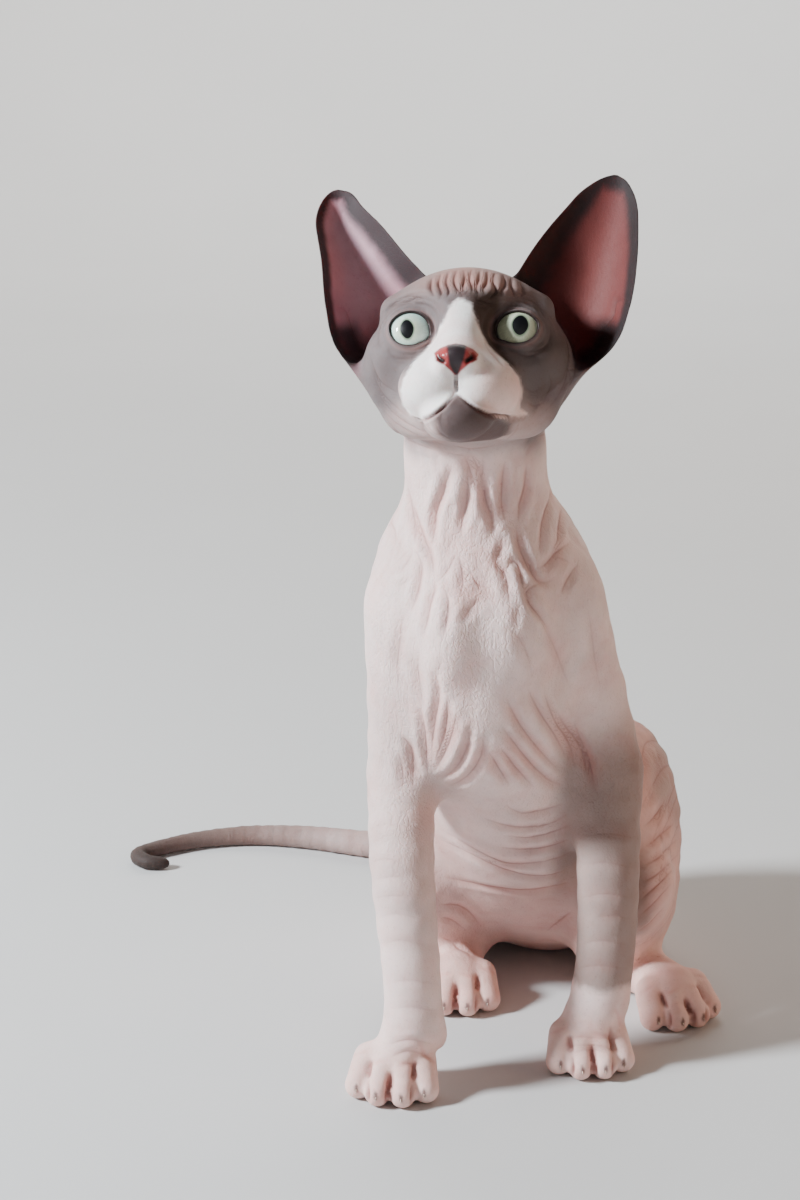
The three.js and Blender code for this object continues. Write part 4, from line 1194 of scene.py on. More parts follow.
# %% Fold families
LOOK_FROM = {
    "left": (lambda a, b: [a * 0 + 135, a, b], [-1, 0, 0]),
    "right": (lambda a, b: [a * 0 - 125, a, b], [1, 0, 0]),
    "back": (lambda a, b: [a, a * 0 + 255, b], [0, -1, 0]),
}
FAMILIES = [
    # seen from, first curve, last curve, count, width, depth, wobble
    ("left", [(50, 186), (63, 160), (64, 128)], [(74, 180), (96, 158), (100, 126)], 5, 2.2, 0.8, 1.5),
    ("left", [(66, 118), (84, 108), (106, 106)], [(62, 92), (72, 88), (88, 92)], 4, 2.2, 0.9, 1.5),
    ("left", [(72, 72), (100, 84), (132, 74)], [(64, 22), (98, 30), (138, 22)], 8, 2.2, 0.7, 1.8),
    ("left", [(116, 112), (138, 96), (152, 62)], [(134, 112), (150, 90), (160, 60)], 3, 2.4, 0.6, 1.5),
    ("right", [(42, 186), (56, 160), (60, 128)], [(70, 182), (90, 160), (94, 126)], 5, 2.2, 0.8, 1.5),
    ("right", [(64, 120), (86, 110), (110, 108)], [(70, 94), (84, 90), (104, 94)], 4, 2.2, 0.9, 1.5),
    ("right", [(84, 76), (114, 84), (144, 72)], [(80, 22), (116, 30), (150, 22)], 8, 2.2, 0.7, 1.8),
    ("back", [(6, 204), (22, 199), (40, 204)], [(-4, 176), (24, 168), (52, 176)], 5, 2.0, 0.7, 1.2),
    ("back", [(12, 172), (18, 150), (26, 132)], [(42, 172), (40, 150), (44, 132)], 4, 2.4, 0.6, 1.5),
    ("back", [(4, 126), (36, 118), (66, 124)], [(8, 74), (50, 64), (92, 78)], 7, 2.6, 0.6, 2.0),
    ("back", [(22, 60), (48, 50), (76, 60)], [(30, 34), (48, 28), (66, 34)], 3, 2.4, 0.6, 1.0),
]


def family(first, last, count, wobble, chance):
    """Curves between two: a share of the way from the first to the last, each point then shaken."""
    share = np.linspace(0, 1, count)[:, None, None]
    curves = np.array(first) * (1 - share) + np.array(last) * share
    return curves + chance.normal(0, wobble, curves.shape)


chance = np.random.default_rng(11)
for side, first, last, count, width, depth, wobble in FAMILIES:
    place, way = LOOK_FROM[side]
    look = lambda flat: (np.stack(place(*flat.T), axis=1), np.tile(np.array(way, float), (len(flat), 1)))
    curves = family(first, last, count, wobble, chance)
    grooves += drop_grooves(width, depth, curves, look, ROOM_SPACING, FULL_LENGTH * width)
print(len(grooves), "folds in all")

# %% [markdown]
# ## Mouth, nostrils and toes
#
# The mouth is a narrow, deep fold under the muzzle pads, and the nostrils are two commas. The
# toes of a sphynx are long and knobbly, parted by deep gaps, and each has a crease across its
# top where the last joint bends.

# %% Deep lines
CREASE_BACK, CREASE_HALF = 8.6, 3.2
DROP_FROM = 16


def along_way(*way):
    """A drop along one direction, from a little before each place."""
    way = unit(np.array([way], float))
    return lambda places: (places - way * DROP_FROM, np.tile(way, (len(places), 1)))


deep = drop_grooves(0.55, 1.25, MOUTH, line_of_sight, MOUTH_SPACING)
deep += drop_grooves(0.42, 0.8, PHILTRUM, line_of_sight, MOUTH_SPACING)
nostrils = drop_grooves(0.75, 1.5, NOSTRILS, line_of_sight, NOSTRIL_SPACING)
toe_curves, top_gaps, front_gaps = [], [], []
for place, aside, reach in every_toe():
    toe_curves.append([place(aside + dx, reach + CREASE_BACK + dx * dx * 0.06, 11)
                       for dx in (-CREASE_HALF, 0, CREASE_HALF)])
for at, heading, spread in PAWS:
    place = paw_frame(at, heading)
    for a, b, reach_a, reach_b in zip(TOES[:-1], TOES[1:], TOE_REACH[:-1], TOE_REACH[1:]):
        gap, front = (a + b) / 2 * spread, max(reach_a, reach_b)
        top_gaps.append([place(gap * share, front + y, 10)
                         for share, y in ((1, 0.5), (0.98, 3.5), (0.95, 6.5))])
        front_gaps.append([place(gap, front, z) for z in (1.0, 4.5, 8.5)])
toe_lines = drop_grooves(0.6, 0.3, toe_curves, along_way(0, 0.45, -1), TOE_SPACING)
gap_lines = drop_grooves(0.8, 1.6, top_gaps, along_way(0, 0.35, -1), TOE_SPACING)
gap_lines += drop_grooves(0.85, 1.3, front_gaps, along_way(0, 1, -0.1), TOE_SPACING)
print(len(deep), "lines of the mouth,", len(nostrils), "nostrils,", len(toe_lines), "toe creases,",
      len(gap_lines), "gaps")

# %% [markdown]
# ## Carving
#
# A groove lowers the skin by its depth times a bell curve of the distance to it, and its
# shoulders rise a little on both sides, as folded skin does. Where grooves cross, the deepest
# one counts, so that a crossing isn't a pit.

# %% Carve
SHOULDER_OUT, CARVE_REACH = 1.9, 3.6
CREASE_REACH, CREASE_FADE = 1.6, 1.25
NET_WARP = 0.35


def beside(points, groove, reach):
    """Points within reach of a groove: their numbers, nearest piece, distance, offset and weight."""
    _, _, start, end, weight_start, weight_end = groove
    box_low, box_high = np.minimum(start, end).min(axis=0), np.maximum(start, end).max(axis=0)
    near = np.flatnonzero(np.all((points > box_low - reach) & (points < box_high + reach), axis=1))
    along = end - start
    offset = points[near][:, None] - start
    t = np.clip((offset * along).sum(axis=2) / np.maximum((along * along).sum(axis=1), 1e-9), 0, 1)
    square = ((offset - t[..., None] * along) ** 2).sum(axis=2)
    best = square.argmin(axis=1) if len(near) else np.zeros(0, int)
    row = np.arange(len(near))
    t = t[row, best]
    weight = weight_start[best] + (weight_end[best] - weight_start[best]) * t
    return near, along[best], np.sqrt(square[row, best]), offset[row, best] - t[:, None] * along[best], weight


def carve(points, lines, shoulder=0.45):
    """Depth of the grooves and height of their shoulders at each point."""
    low, high = np.zeros(len(points)), np.zeros(len(points))
    for groove in lines:
        width, depth = groove[:2]
        near, _, distance, _, strength = beside(points, groove, CARVE_REACH * width)
        strength = depth * strength
        low[near] = np.maximum(low[near], strength * np.exp(-(distance / width) ** 1.7))
        rise = shoulder * strength * bell(distance - SHOULDER_OUT * width, width)
        high[near] = np.maximum(high[near], rise)
    return low, high


def crease_lines(points, normals, lines):
    """Distance to one side or the other of the nearest groove, and how strong its crease is there.

    The material draws a fine line of painted shade from the two, sharper than the mesh is, and
    sinks it in the bump. The strength is zero beyond a millimetre or so, before the next groove
    begins.
    """
    aside, nearest = np.full(len(points), 9.0), np.full(len(points), 99.0)
    strength = np.zeros(len(points))
    for groove in lines:
        near, along, distance, away, weight = beside(points, groove, CREASE_REACH)
        side = np.sign((np.cross(along, away) * normals[near]).sum(axis=1))
        closer = distance < nearest[near]
        chosen = near[closer]
        nearest[chosen] = distance[closer]
        aside[chosen] = (distance * side)[closer]
        fade = np.clip(CREASE_FADE - (distance / CREASE_FADE) ** 2, 0, 1)
        strength[chosen] = (min(groove[1], 1.0) * weight * fade)[closer]
    return aside, strength


def rumple(points, size, seed):
    """Smooth chance: random numbers on a lattice, eased between by 3 t squared less 2 t cubed."""
    lattice = np.random.default_rng(seed).uniform(-1, 1, (32, 32, 32))
    place = points / size
    whole = np.floor(place).astype(int)
    t = place - whole
    t = t * t * (3 - 2 * t)
    total = np.zeros(len(points))
    for corner in range(8):
        bit = (corner >> np.arange(3)) & 1
        weight = np.prod(np.where(bit, t, 1 - t), axis=1)
        total += weight * lattice[tuple(((whole + bit) % 32).T)]
    return total


def crease_net(points, size, line, seed):
    """Valleys that join in a net: narrow bells round the places where smooth chance passes zero."""
    sideways = np.stack([rumple(points, size, seed + k) for k in (1, 2, 3)], axis=1)
    warped = points + NET_WARP * np.array(size) * sideways
    return bell(rumple(warped, size, seed), line)


used, triangles = np.unique(triangles, return_inverse=True)
triangles = triangles.reshape(-1, 3)
is_tucked = np.zeros(len(vertices), bool)
is_tucked[tucked] = True
is_tucked = is_tucked[used]
vertices = vertices[used]
normals = unit(skin_field(vertices)[1])
local = into_head(vertices)
fold_low, fold_high = carve(vertices, grooves)
deep_low, deep_high = carve(vertices, deep, 0.25)
nostril_low, _ = carve(vertices, nostrils, 0.0)
toe_low, toe_high = carve(vertices, toe_lines, 0.2)
gap_low, _ = carve(vertices, gap_lines, 0.0)
crease_aside, crease_strength = crease_lines(vertices, normals, grooves)
print("deepest fold", fold_low.max().round(2), "mm, deepest line", deep_low.max().round(2), "mm")

# %% [markdown]
# ## Rings round the eyes
#
# A sphynx has no lashes, and its lids lie in rings. They follow the shape of the opening, so
# they are functions of the distance outward from its edge.

# %% Eye rings
EYE_RINGS = [
    # distance from the lid's edge, width, depth, extra depth above the eye
    (1.05, 0.32, 0.26, 0.05),
    (2.3, 0.45, 0.34, 0.25),
    (3.7, 0.6, 0.05, 0.55),
    (5.2, 0.8, 0.1, 0.3),
]
LID_FREE = 1.0


def round_eye(side, local):
    """Distance outward from the lid's edge, and the height above the eye's middle as a share."""
    offset = local - eye_middle(side)
    radius = np.hypot(offset[:, 0], offset[:, 2])
    angle = np.arctan2(offset[:, 2], offset[:, 0])
    outward = radius - opening_radius(side, angle)
    return np.where(offset[:, 1] < 8, outward, 99.0), np.sin(angle)


lid_low = np.zeros(len(vertices))
lid_high = np.zeros(len(vertices))
from_lid = np.full(len(vertices), 99.0)
for side in ("right", "left"):
    outward, above = round_eye(side, local)
    from_lid = np.minimum(from_lid, outward)
    for distance, width, depth, extra in EYE_RINGS:
        strength = depth + extra * np.clip(above, 0, 1)
        lid_low = np.maximum(lid_low, strength * bell(outward - distance, width))
    lid_high = np.maximum(lid_high, 0.12 * bell(outward - 0.5, 0.3))
print("nearest to a lid's edge", from_lid.min().round(2), "mm")

# %% [markdown]
# ## The finished surface
#
# The skin lies three tenths of a millimetre inside the solids, the depth of the down. Folds,
# rings, a net of small creases and a light rumple are then added along the normals of the smooth
# body. The lids' edges and what is tucked behind them stay where they are.

# %% Set the surface
DOWN = 0.3
KNUCKLE_SWELLS = [
    # behind the toe's tip, above the floor, height
    (3.0, 8.0, 0.35),
    (7.0, 11.5, 0.6),
]
KNUCKLE_WIDE = 2.9
TURN_ROUND_X = np.array([[1, 0, 0], [0, 0.83, -0.55], [0, 0.55, 0.83]])
x, y, z = vertices.T
ear_zone = ease(9, 13, np.abs(local[:, 0])) * ease(8, 14, local[:, 2])
head_zone = fade(1, 8, head.value(vertices)[0])
trunk_zone = band(60, 90, 190, 205, z)
rumple_depth = 0.08 + 0.1 * trunk_zone + 0.3 * ease(60, 80, y) * (1 - head_zone)
rumple_depth *= (1 - 0.9 * ear_zone) * (1 - 0.75 * head_zone) * ease(2, 26, z)
creased = np.abs(rumple(vertices * [1, 1, 0.45], 4.2, 5))
creased += 0.5 * np.abs(rumple(vertices * [1, 1, 0.6], 2.1, 6))
upright = crease_net(vertices, [8.0, 9.0, 22.0], 0.2, 31)
leaning = crease_net(vertices @ TURN_ROUND_X, [15.0, 15.0, 7.5], 0.18, 41)
neck_zone = band(146, 168, 206, 214, z) * (1 - 0.6 * ease(56, 80, y))
breast_zone = band(90, 108, 128, 152, z) * fade(40, 60, y)
breast_zone *= bell(x - 24, 17)
flank_zone = ease(66, 90, y) * band(12, 30, 150, 180, z)
net_low = upright * (0.42 * neck_zone + 0.3 * breast_zone) + leaning * 0.6 * flank_zone
net_low *= (1 - head_zone) * ~is_tucked
edges, _ = edges_of(triangles, len(vertices))
soft = np.stack([fold_low, fold_high, net_low], axis=1)
soft = 0.4 * soft + 0.6 * neighbour_mean(soft, edges, len(vertices))
fold_low, fold_high, net_low = soft.T
on_head = fade(0.5, 5, head.value(vertices)[0])
knuckles = np.zeros(len(vertices))
for place, aside, reach in every_toe():
    for back, up, swell in KNUCKLE_SWELLS:
        off = np.linalg.norm(vertices - place(aside * 0.96, reach + back, up), axis=1)
        knuckles = np.maximum(knuckles, swell * bell(off, KNUCKLE_WIDE))
height = -DOWN - np.maximum(fold_low, net_low) + fold_high * (1 - 0.9 * on_head)
height += lid_high - lid_low + deep_high - deep_low - nostril_low
height += knuckles + toe_high - toe_low - gap_low - rumple_depth * (0.55 - np.minimum(creased, 0.55))
height *= ease(0.0, LID_FREE, from_lid) * ~is_tucked
vertices = vertices + normals * height[:, None]
vertices[:, 2] = np.maximum(vertices[:, 2], FLOOR_SKIN)
print("surface moved between", height.min().round(2), "and", height.max().round(2), "mm")

# %% [markdown]
# ## Colour of the skin
#
# The markings of a hairless cat are in its skin. They are painted in layers on the vertices, as
# an attribute that the material reads: pale pink flesh first, then the grey mask with its white
# blaze, the dark rims of the ears, the grey of one foreleg and the dark tail. Painted light and
# shade go in the same layers: shade under the chest, on that foreleg, in the toes, beside the nose,
# on one cheek and pad, under the chin, in the mouth, the nostrils and behind the lids, light
# shining through the ears, and last shade in the folds. Each layer is a colour and a share from 0
# to 1 with a soft, slightly ragged edge.

# %% Paint helpers
def screen(red, green, blue):
    """A colour as it is seen on a screen, 0 to 255, made linear: above a small toe, power 2.4."""
    value = np.array([red, green, blue]) / 255
    return np.where(value < 0.04045, value / 12.92, ((value + 0.055) / 1.055) ** 2.4)


def inside(pixels, outline, soft):
    """Share of a point that is inside an outline: its signed distance to the nearest side, eased."""
    a = np.array(outline, float)
    along = np.roll(a, -1, axis=0) - a
    offset = pixels[:, None] - a
    t = np.clip((offset * along).sum(axis=2) / (along * along).sum(axis=1), 0, 1)
    distance = np.sqrt(((offset - t[..., None] * along) ** 2).sum(axis=2)).min(axis=1)
    straddles = (offset[..., 1] < 0) != (offset[..., 1] < along[:, 1])
    beyond = offset[..., 0] * along[:, 1] < offset[..., 1] * along[:, 0]
    crossings = (straddles & (beyond == (along[:, 1] > 0))).sum(axis=1)
    return ease(-soft, soft, np.where(crossings % 2 == 1, distance, -distance))


# Red, green and blue as seen on a screen
SKIN_COLOURS = {
    "flesh": (234, 208, 203), "flesh pink": (226, 165, 148), "flesh shade": (176, 128, 118),
    "grey skin and shade": (138, 116, 108), "paw": (240, 196, 184), "toe crease shade": (206, 128, 116),
    "toe gap shade": (138, 70, 62), "claw slot shade": (70, 40, 38), "tail": (104, 82, 74), "tail tip": (44, 35, 32),
    "jaw": (160, 142, 138), "mask": (106, 96, 96), "crown": (172, 132, 120), "shade beside nose": (58, 42, 34),
    "left cheek shade": (76, 60, 52), "chin": (82, 66, 65), "blaze": (250, 240, 236), "muzzle": (226, 176, 160),
    "over nose": (236, 190, 180), "nose": (164, 66, 66), "nose stripe": (52, 44, 47),
    "nostril shade": (38, 20, 20), "lip and groove shade": (92, 62, 60), "lid edge": (52, 38, 36), "lid": (152, 118, 114),
    "shade behind lids": (40, 28, 28), "ear back": (86, 74, 74), "ear rim": (31, 25, 26),
    "right ear": (184, 138, 148), "right ear middle glow": (200, 170, 180), "right ear root glow": (178, 116, 122),
    "left ear": (98, 46, 44), "left ear middle glow": (112, 56, 52), "left ear root glow": (132, 50, 46),
    "fold_shade_and_flush": (188, 118, 108), "dark fold shade": (62, 48, 44),
}
tint = np.tile(screen(*SKIN_COLOURS["flesh"]), (len(vertices), 1))


def lay(name, share):
    """Lay a colour over the tint: move each vertex toward it by its share."""
    tint[:] += (screen(*SKIN_COLOURS[name]) - tint) * np.clip(share, 0, 1)[:, None]


ragged = rumple(vertices, 3.5, 21) + 0.5 * rumple(vertices, 1.4, 22)
cloudy = rumple(vertices, 24, 23)
mottled = rumple(vertices, 9, 24)
seen = picture(vertices) + np.stack([ragged, np.roll(ragged, 1)], axis=1) * 1.1
facing = (normals @ VIEW_AHEAD) < 0.25

# %% Body colours
CLAW_SLOT = [0.75, 2.0, 1.7]
lay("flesh pink", 0.45 * ease(60, 100, x + 0.5 * y - 20) * fade(120, 170, z) + 0.12 * mottled)
# Between the legs under the chest: painted shade over a slightly darker skin
shaded_belly = band(-6, 8, 64, 74, x) * ease(52, 70, y) * (y < 100)
lay("flesh shade", 0.6 * shaded_belly * fade(96, 118, z))
lay("grey skin and shade", 0.55 * ease(0.0, 0.6, cloudy + 0.02 * (y - 100)) * ease(70, 100, y) * ease(20, 60, z))
# The kitten's left foreleg: grey skin under painted shade, from the wrist up to the elbow
left_leg_grey_and_shade = band(46, 54, 80, 86, x) * fade(58, 76, y)
lay("grey skin and shade", 0.85 * left_leg_grey_and_shade * ease(26.5, 29.5, z + 1.2 * ragged) * fade(96, 124, z))
right_leg = fade(16, 22, x) * fade(56, 66, y)
lay("grey skin and shade", 0.22 * right_leg * ease(40, 66, z + 4 * ragged) * fade(110, 140, z))
paws = fade(12, 24, z)
lay("paw", 0.55 * paws * (y < 110))
# Painted shade in the toe creases, pinker as well, by their carved depth
lay("toe crease shade", 0.3 * np.clip(toe_low / 0.3, 0, 1))
# Painted shade in the gaps between the toes, by their carved depth
lay("toe gap shade", 0.75 * np.clip(gap_low / 1.1, 0, 1))
# Painted shade: a dark oval round each claw, where it sits in its slot
claw_slot = np.full(len(vertices), 9.0)
for place, aside, reach in every_toe():
    offset = (vertices - place(aside, reach + 0.6, 5.0)) / CLAW_SLOT
    claw_slot = np.minimum(claw_slot, np.linalg.norm(offset, axis=1))
lay("claw slot shade", 0.8 * fade(0.5, 1.1, claw_slot))

# %% Tail
tail_share = np.linspace(0, 1, len(tail_line))
tail_near = np.flatnonzero((z < 40) & ((y > 150) | (x < -24)))
tail_square = ((vertices[tail_near][:, None] - tail_line) ** 2).sum(axis=2)
along_tail = tail_share[tail_square.argmin(axis=1)]
tail_radius = np.interp(along_tail, np.linspace(0, 1, len(TAIL_RADIUS)), TAIL_RADIUS)
on_tail = fade(2, 7, np.sqrt(tail_square.min(axis=1)) - tail_radius)
tail_dark = np.zeros(len(vertices))
tail_dark[tail_near] = on_tail * ease(0.02, 0.62, along_tail + 0.05 * mottled[tail_near])
tail_tip = np.zeros(len(vertices))
tail_tip[tail_near] = on_tail * ease(0.45, 0.95, along_tail)
lay("tail", 0.9 * tail_dark)
lay("tail tip", 0.92 * tail_tip)

# %% Mask, blaze and chin
lx, ly, lz = local.T
nape = fade(2, 16, head.value(vertices)[0] + 0.6 * np.maximum(8 - ly, 0))
mask = ease(-25, -15, lz + 1.5 * ragged + 0.12 * ly) * np.maximum(on_head, nape)
lay("jaw", 0.8 * ease(-40, -27, lz) * on_head)
lay("mask", 0.94 * mask)
crown = bell(lx - 1, 15) * ease(6, 13, lz) * (1 - 0.4 * ease(14, 30, ly))
lay("crown", 0.75 * crown)
front = (ly < 10) & facing & (z > 196)
# Painted shade on the kitten's left of the nose bridge, the side of the face away from the light
SHADE_BESIDE_NOSE = [(466, 292), (500, 292), (498, 330), (503, 350), (512, 364), (505, 367), (488, 352)]
lay("shade beside nose", 0.85 * inside(seen, SHADE_BESIDE_NOSE, 5) * front)
# Corners in the picture: a colour comes in to the right of one range and below the other. They lay
# painted shade on the kitten's left cheek and muzzle pad, the side of the face away from the light
CHEEK_SHADE_CORNER = ((520, 545), (318, 345))
MUZZLE_SHADE_CORNER = ((462, 492), (352, 384))
OVER_NOSE, OVER_NOSE_WIDE, OVER_NOSE_HIGH = (456, 344), 26, 9


def right_and_below(corner):
    """Share that rises across a corner of the picture, to the right and downward."""
    across, down = corner
    return ease(*across, seen[:, 0]) * ease(*down, seen[:, 1])


# Painted shade on the kitten's left cheek
lay("left cheek shade", 0.5 * front * right_and_below(CHEEK_SHADE_CORNER) * mask)
# The grey chin, darkened further by painted shade under it
CHIN_GREY_AND_SHADE = [(456, 394), (478, 404), (500, 416), (512, 424), (505, 440), (478, 449), (450, 446), (438, 434),
        (436, 418)]
lay("chin", 0.94 * ease(0.1, 0.8, inside(seen, CHIN_GREY_AND_SHADE, 15)) * front)
BLAZE = [(459, 298), (470, 303), (478, 325), (488, 345), (504, 360), (519, 377), (522, 392), (520, 408),
         (528, 414), (516, 420), (495, 417), (476, 407), (457, 394), (440, 409), (425, 420), (412, 416),
         (403, 404), (400, 390), (402, 378), (415, 361), (433, 340), (444, 319), (452, 302)]
blaze = inside(seen, BLAZE, 1.3) * front
lay("blaze", blaze)
# Painted warm shade over the blaze on the kitten's left muzzle pad
lay("muzzle", 0.55 * blaze * right_and_below(MUZZLE_SHADE_CORNER))
off_nose = seen - OVER_NOSE
lay("over nose", 0.5 * blaze * bell(off_nose[:, 0], OVER_NOSE_WIDE) * bell(off_nose[:, 1], OVER_NOSE_HIGH))

# %% Nose, lips and lids
NOSE = [(434, 353), (440, 348), (448, 345), (456, 343.5), (464, 345), (473, 349), (478.5, 354),
        (477, 360), (468, 365), (461, 371), (456, 377), (451, 371), (444, 365), (436, 361)]
NOSE_STRIPE = [(446, 343), (467, 343), (465, 355), (462, 364), (457, 377), (453, 372), (449, 364),
               (447.5, 354)]
clean = picture(vertices)
nose_leather = inside(clean, NOSE, 0.9) * front
lay("nose", nose_leather)
lay("nose stripe", nose_leather * inside(clean, NOSE_STRIPE, 1.6))
# Painted shade in the nostrils, darkest where they are carved deepest
lay("nostril shade", np.clip(nostril_low / 0.8, 0, 1))
# Lip colour with painted shade in the mouth line and the philtrum, darker where a groove is deeper
lay("lip and groove shade", 0.85 * np.clip(deep_low / 0.9, 0, 1))
lay("lid edge", 0.9 * fade(0.0, 0.38, from_lid) * (from_lid < 5))
lay("lid", 0.4 * band(0.5, 0.9, 1.0, 1.8, from_lid))
# Painted shade on the skin tucked in behind the lids
lay("shade behind lids", is_tucked.astype(float))

# %% Ears
INNER_BAND = {"right": 1.0, "left": 3.2}
OUTER_BAND = {"right": 2.6, "left": 3.6}
EAR_LENGTH = 56


def lay_near(name, amount):
    """Lay a colour over the vertices near the ear in hand."""
    share = np.zeros(len(vertices))
    share[near] = amount
    lay(name, share)


for side in EAR_EDGES:
    mirror = -1 if side == "right" else 1
    near = np.flatnonzero((lx * mirror > 8) & (lz > -16) & (z > 225))
    own = local[near] * [mirror, 1, 1]
    s, t = ear_foot(side, own)
    away = np.linalg.norm(own - ear_sheet(side, s, t), axis=1)
    on_ear = fade(1.2, 3.4, away)
    normal_local = (normals[near] @ HEAD_AXES) * [mirror, 1, 1]
    cupped = normal_local[:, 1] < 0.05
    inner, outer = (smooth_curve(edge, s) for edge in EAR_EDGES[side])
    broad = np.linalg.norm(outer - inner, axis=1)
    to_tip = (1 - s) * EAR_LENGTH
    from_rim = np.minimum(np.minimum(t, 1 - t) * broad, to_tip * 0.8) + 0.3 * ragged[near]
    lay_near("ear back", on_ear * ~cupped * ease(0.05, 0.2, s))
    on_ear *= 1 - ease(0.6, 0.85, t) * fade(0.06, 0.14, s)
    # Painted light: the inside of each ear is coloured by light shining through it, pale pink in the right
    # ear and red-brown in the left
    lay_near(f"{side} ear", on_ear * cupped * ease(0.0, 0.05, s))
    middle_band = bell(t - 0.46, 0.26) * band(0.15, 0.4, 0.6, 0.95, s)
    lay_near(f"{side} ear middle glow", 0.7 * on_ear * cupped * middle_band)
    lay_near(f"{side} ear root glow", 0.7 * on_ear * cupped * band(0.0, 0.05, 0.1, 0.35, s))
    rim_width = np.where(t > 0.5, OUTER_BAND[side], 3.0 + INNER_BAND[side] * (1 - s))
    rim = fade(0.7 * rim_width, 1.6 * rim_width, from_rim)
    lay_near("ear rim", 0.96 * on_ear * rim * ease(0.03, 0.14, s))
    lobe = ease(0.55, 0.75, t) * fade(0.28, 0.36, s)
    lay_near("ear rim", 0.9 * on_ear * lobe * ease(0.0, 0.08, s) * (0.2 + 0.8 * cupped))
print("ears painted")

# %% Painted shade in the folds
# Painted shade in the folds and lid rings, reddened on pale skin and darker on dark skin, by the depth carved
# there
fold_shade_and_flush = np.clip((np.maximum(fold_low, net_low) + 0.6 * lid_low) / 0.9, 0, 1)
dark_skin = fade(0.08, 0.3, tint.mean(axis=1))
lay("fold_shade_and_flush", 0.34 * fold_shade_and_flush * (1 - dark_skin))
lay("dark fold shade", 0.4 * fold_shade_and_flush * dark_skin)
tint *= (1 + 0.05 * mottled + 0.04 * ragged)[:, None]
tint = np.clip(tint, 0.004, 0.94)
wet = np.clip(nose_leather + fade(0.1, 0.6, from_lid) * (from_lid < 5), 0, 1)
fine_wrinkles = np.clip(0.25 + 0.75 * trunk_zone + 0.5 * ease(60, 90, y), 0, 1)
fine_wrinkles *= (1 - 0.85 * ear_zone) * (1 - 0.6 * head_zone)
print("tint from", tint.min().round(3), "to", tint.max().round(3))

# %% [markdown]
# ## Shader sums
#
# A node tree can be written as Python sums. A small class wraps a socket, and adding or
# multiplying it adds the Math node. Every other node is added in one way: its kind, its
# settings, then the values or links of its sockets.

# %% Finish
class Wire:
    """An output socket that can stand in a sum; every sum adds one Math node."""

    def __init__(self, finish, socket):
        self.finish, self.socket = finish, socket

    def sum(self, operation, first, second=0.0):
        """The Math node of one operation on two values."""
        return self.finish.add("Math", {"operation": operation}, {0: first, 1: second})

    def __add__(self, other):
        return self.sum("ADD", self, other)

    def __sub__(self, other):
        return self.sum("SUBTRACT", self, other)

    def __mul__(self, other):
        return self.sum("MULTIPLY", self, other)

    def __truediv__(self, other):
        return self.sum("DIVIDE", self, other)

    def __pow__(self, other):
        return self.sum("POWER", self, other)

    def __rsub__(self, other):
        return self.sum("SUBTRACT", other, self)

    __radd__ = __add__


class Finish:
    """A material, and the ways that its nodes are added."""

    def __init__(self, name, **constants):
        self.material = bpy.data.materials.new(name)
        self.material.use_nodes = True
        self.tree = self.material.node_tree
        self.shader = self.tree.nodes["Principled BSDF"]
        for socket, value in constants.items():
            self.shader.inputs[socket.replace("_", " ")].default_value = value

    def add(self, kind, settings, inputs, output=0):
        """Add a node: settings first, then a value or a link for each socket; gives one output."""
        node = self.tree.nodes.new("ShaderNode" + kind)
        for name, value in settings.items():
            setattr(node, name, value)
        for name, value in inputs.items():
            self.set(node.inputs[name], value)
        return Wire(self, node.outputs[output])

    def set(self, socket, value):
        """Link a wire to a socket, or set the socket's own value."""
        if isinstance(value, Wire):
            self.tree.links.new(value.socket, socket)
        else:
            socket.default_value = value

    def feed(self, name, value):
        """Feed one socket of the surface shader."""
        self.set(self.shader.inputs[name], value)

    def place(self):
        """Place on the piece, in metres."""
        return self.add("TexCoord", {}, {}, "Object")

    def attribute(self, name, output="Fac"):
        """What is kept on the vertices under a name."""
        return self.add("Attribute", {"attribute_name": name}, {}, output)

    def noise(self, place, scale, detail=3.0, roughness=0.55):
        """Noise around a half, from 0 to 1."""
        return self.add("TexNoise", {}, {"Vector": place, "Scale": scale, "Detail": detail,
                                         "Roughness": roughness})

    def stretched(self, place, by):
        """A place multiplied along each axis."""
        return self.add("VectorMath", {"operation": "MULTIPLY"}, {0: place, 1: by})

    def between(self, value, low, high, start=0.0, end=1.0):
        """Ease a value from one range to another, held at both ends."""
        return self.add("MapRange", {"interpolation_type": "SMOOTHSTEP"},
                        {"Value": value, "From Min": low, "From Max": high, "To Min": start, "To Max": end})

    def blend(self, share, first, second, kind="MIX"):
        """Mix two colours by a share."""
        return self.add("Mix", {"data_type": "RGBA", "blend_type": kind}, {0: share, 6: first, 7: second}, 2)

    def bump(self, height, distance, strength=1.0):
        """A normal that leans as a surface of this height would."""
        return self.add("Bump", {}, {"Height": height, "Distance": distance, "Strength": strength})


def shade(colour):
    """A colour of four numbers, as sockets take it."""
    return (*[float(part) for part in colour], 1.0)


def tone(red, green, blue):
    """A colour as it is seen on a screen, as sockets take it."""
    return shade(screen(red, green, blue))


# %% [markdown]
# ## Pieces from arrays
#
# Each piece is made from an array of points and an array of faces. The points are still in the
# drawing's millimetres; here they are moved and scaled into Blender's metres.

# %% Piece maker
def make_piece(name, points, faces, material):
    """An object at the origin from arrays of points and of faces that have equal corner counts."""
    mesh = bpy.data.meshes.new(name)
    mesh.vertices.add(len(points))
    mesh.vertices.foreach_set("co", ((points + SHIFT) * MM).ravel())
    mesh.loops.add(faces.size)
    mesh.loops.foreach_set("vertex_index", faces.ravel().astype(np.int32))
    mesh.polygons.add(len(faces))
    mesh.polygons.foreach_set("loop_start", np.arange(0, faces.size, faces.shape[1], dtype=np.int32))
    mesh.update(calc_edges=True)
    mesh.polygons.foreach_set("use_smooth", np.ones(len(faces), bool))
    mesh.materials.append(material)
    piece = bpy.data.objects.new(name, mesh)
    bpy.context.scene.collection.objects.link(piece)
    return piece


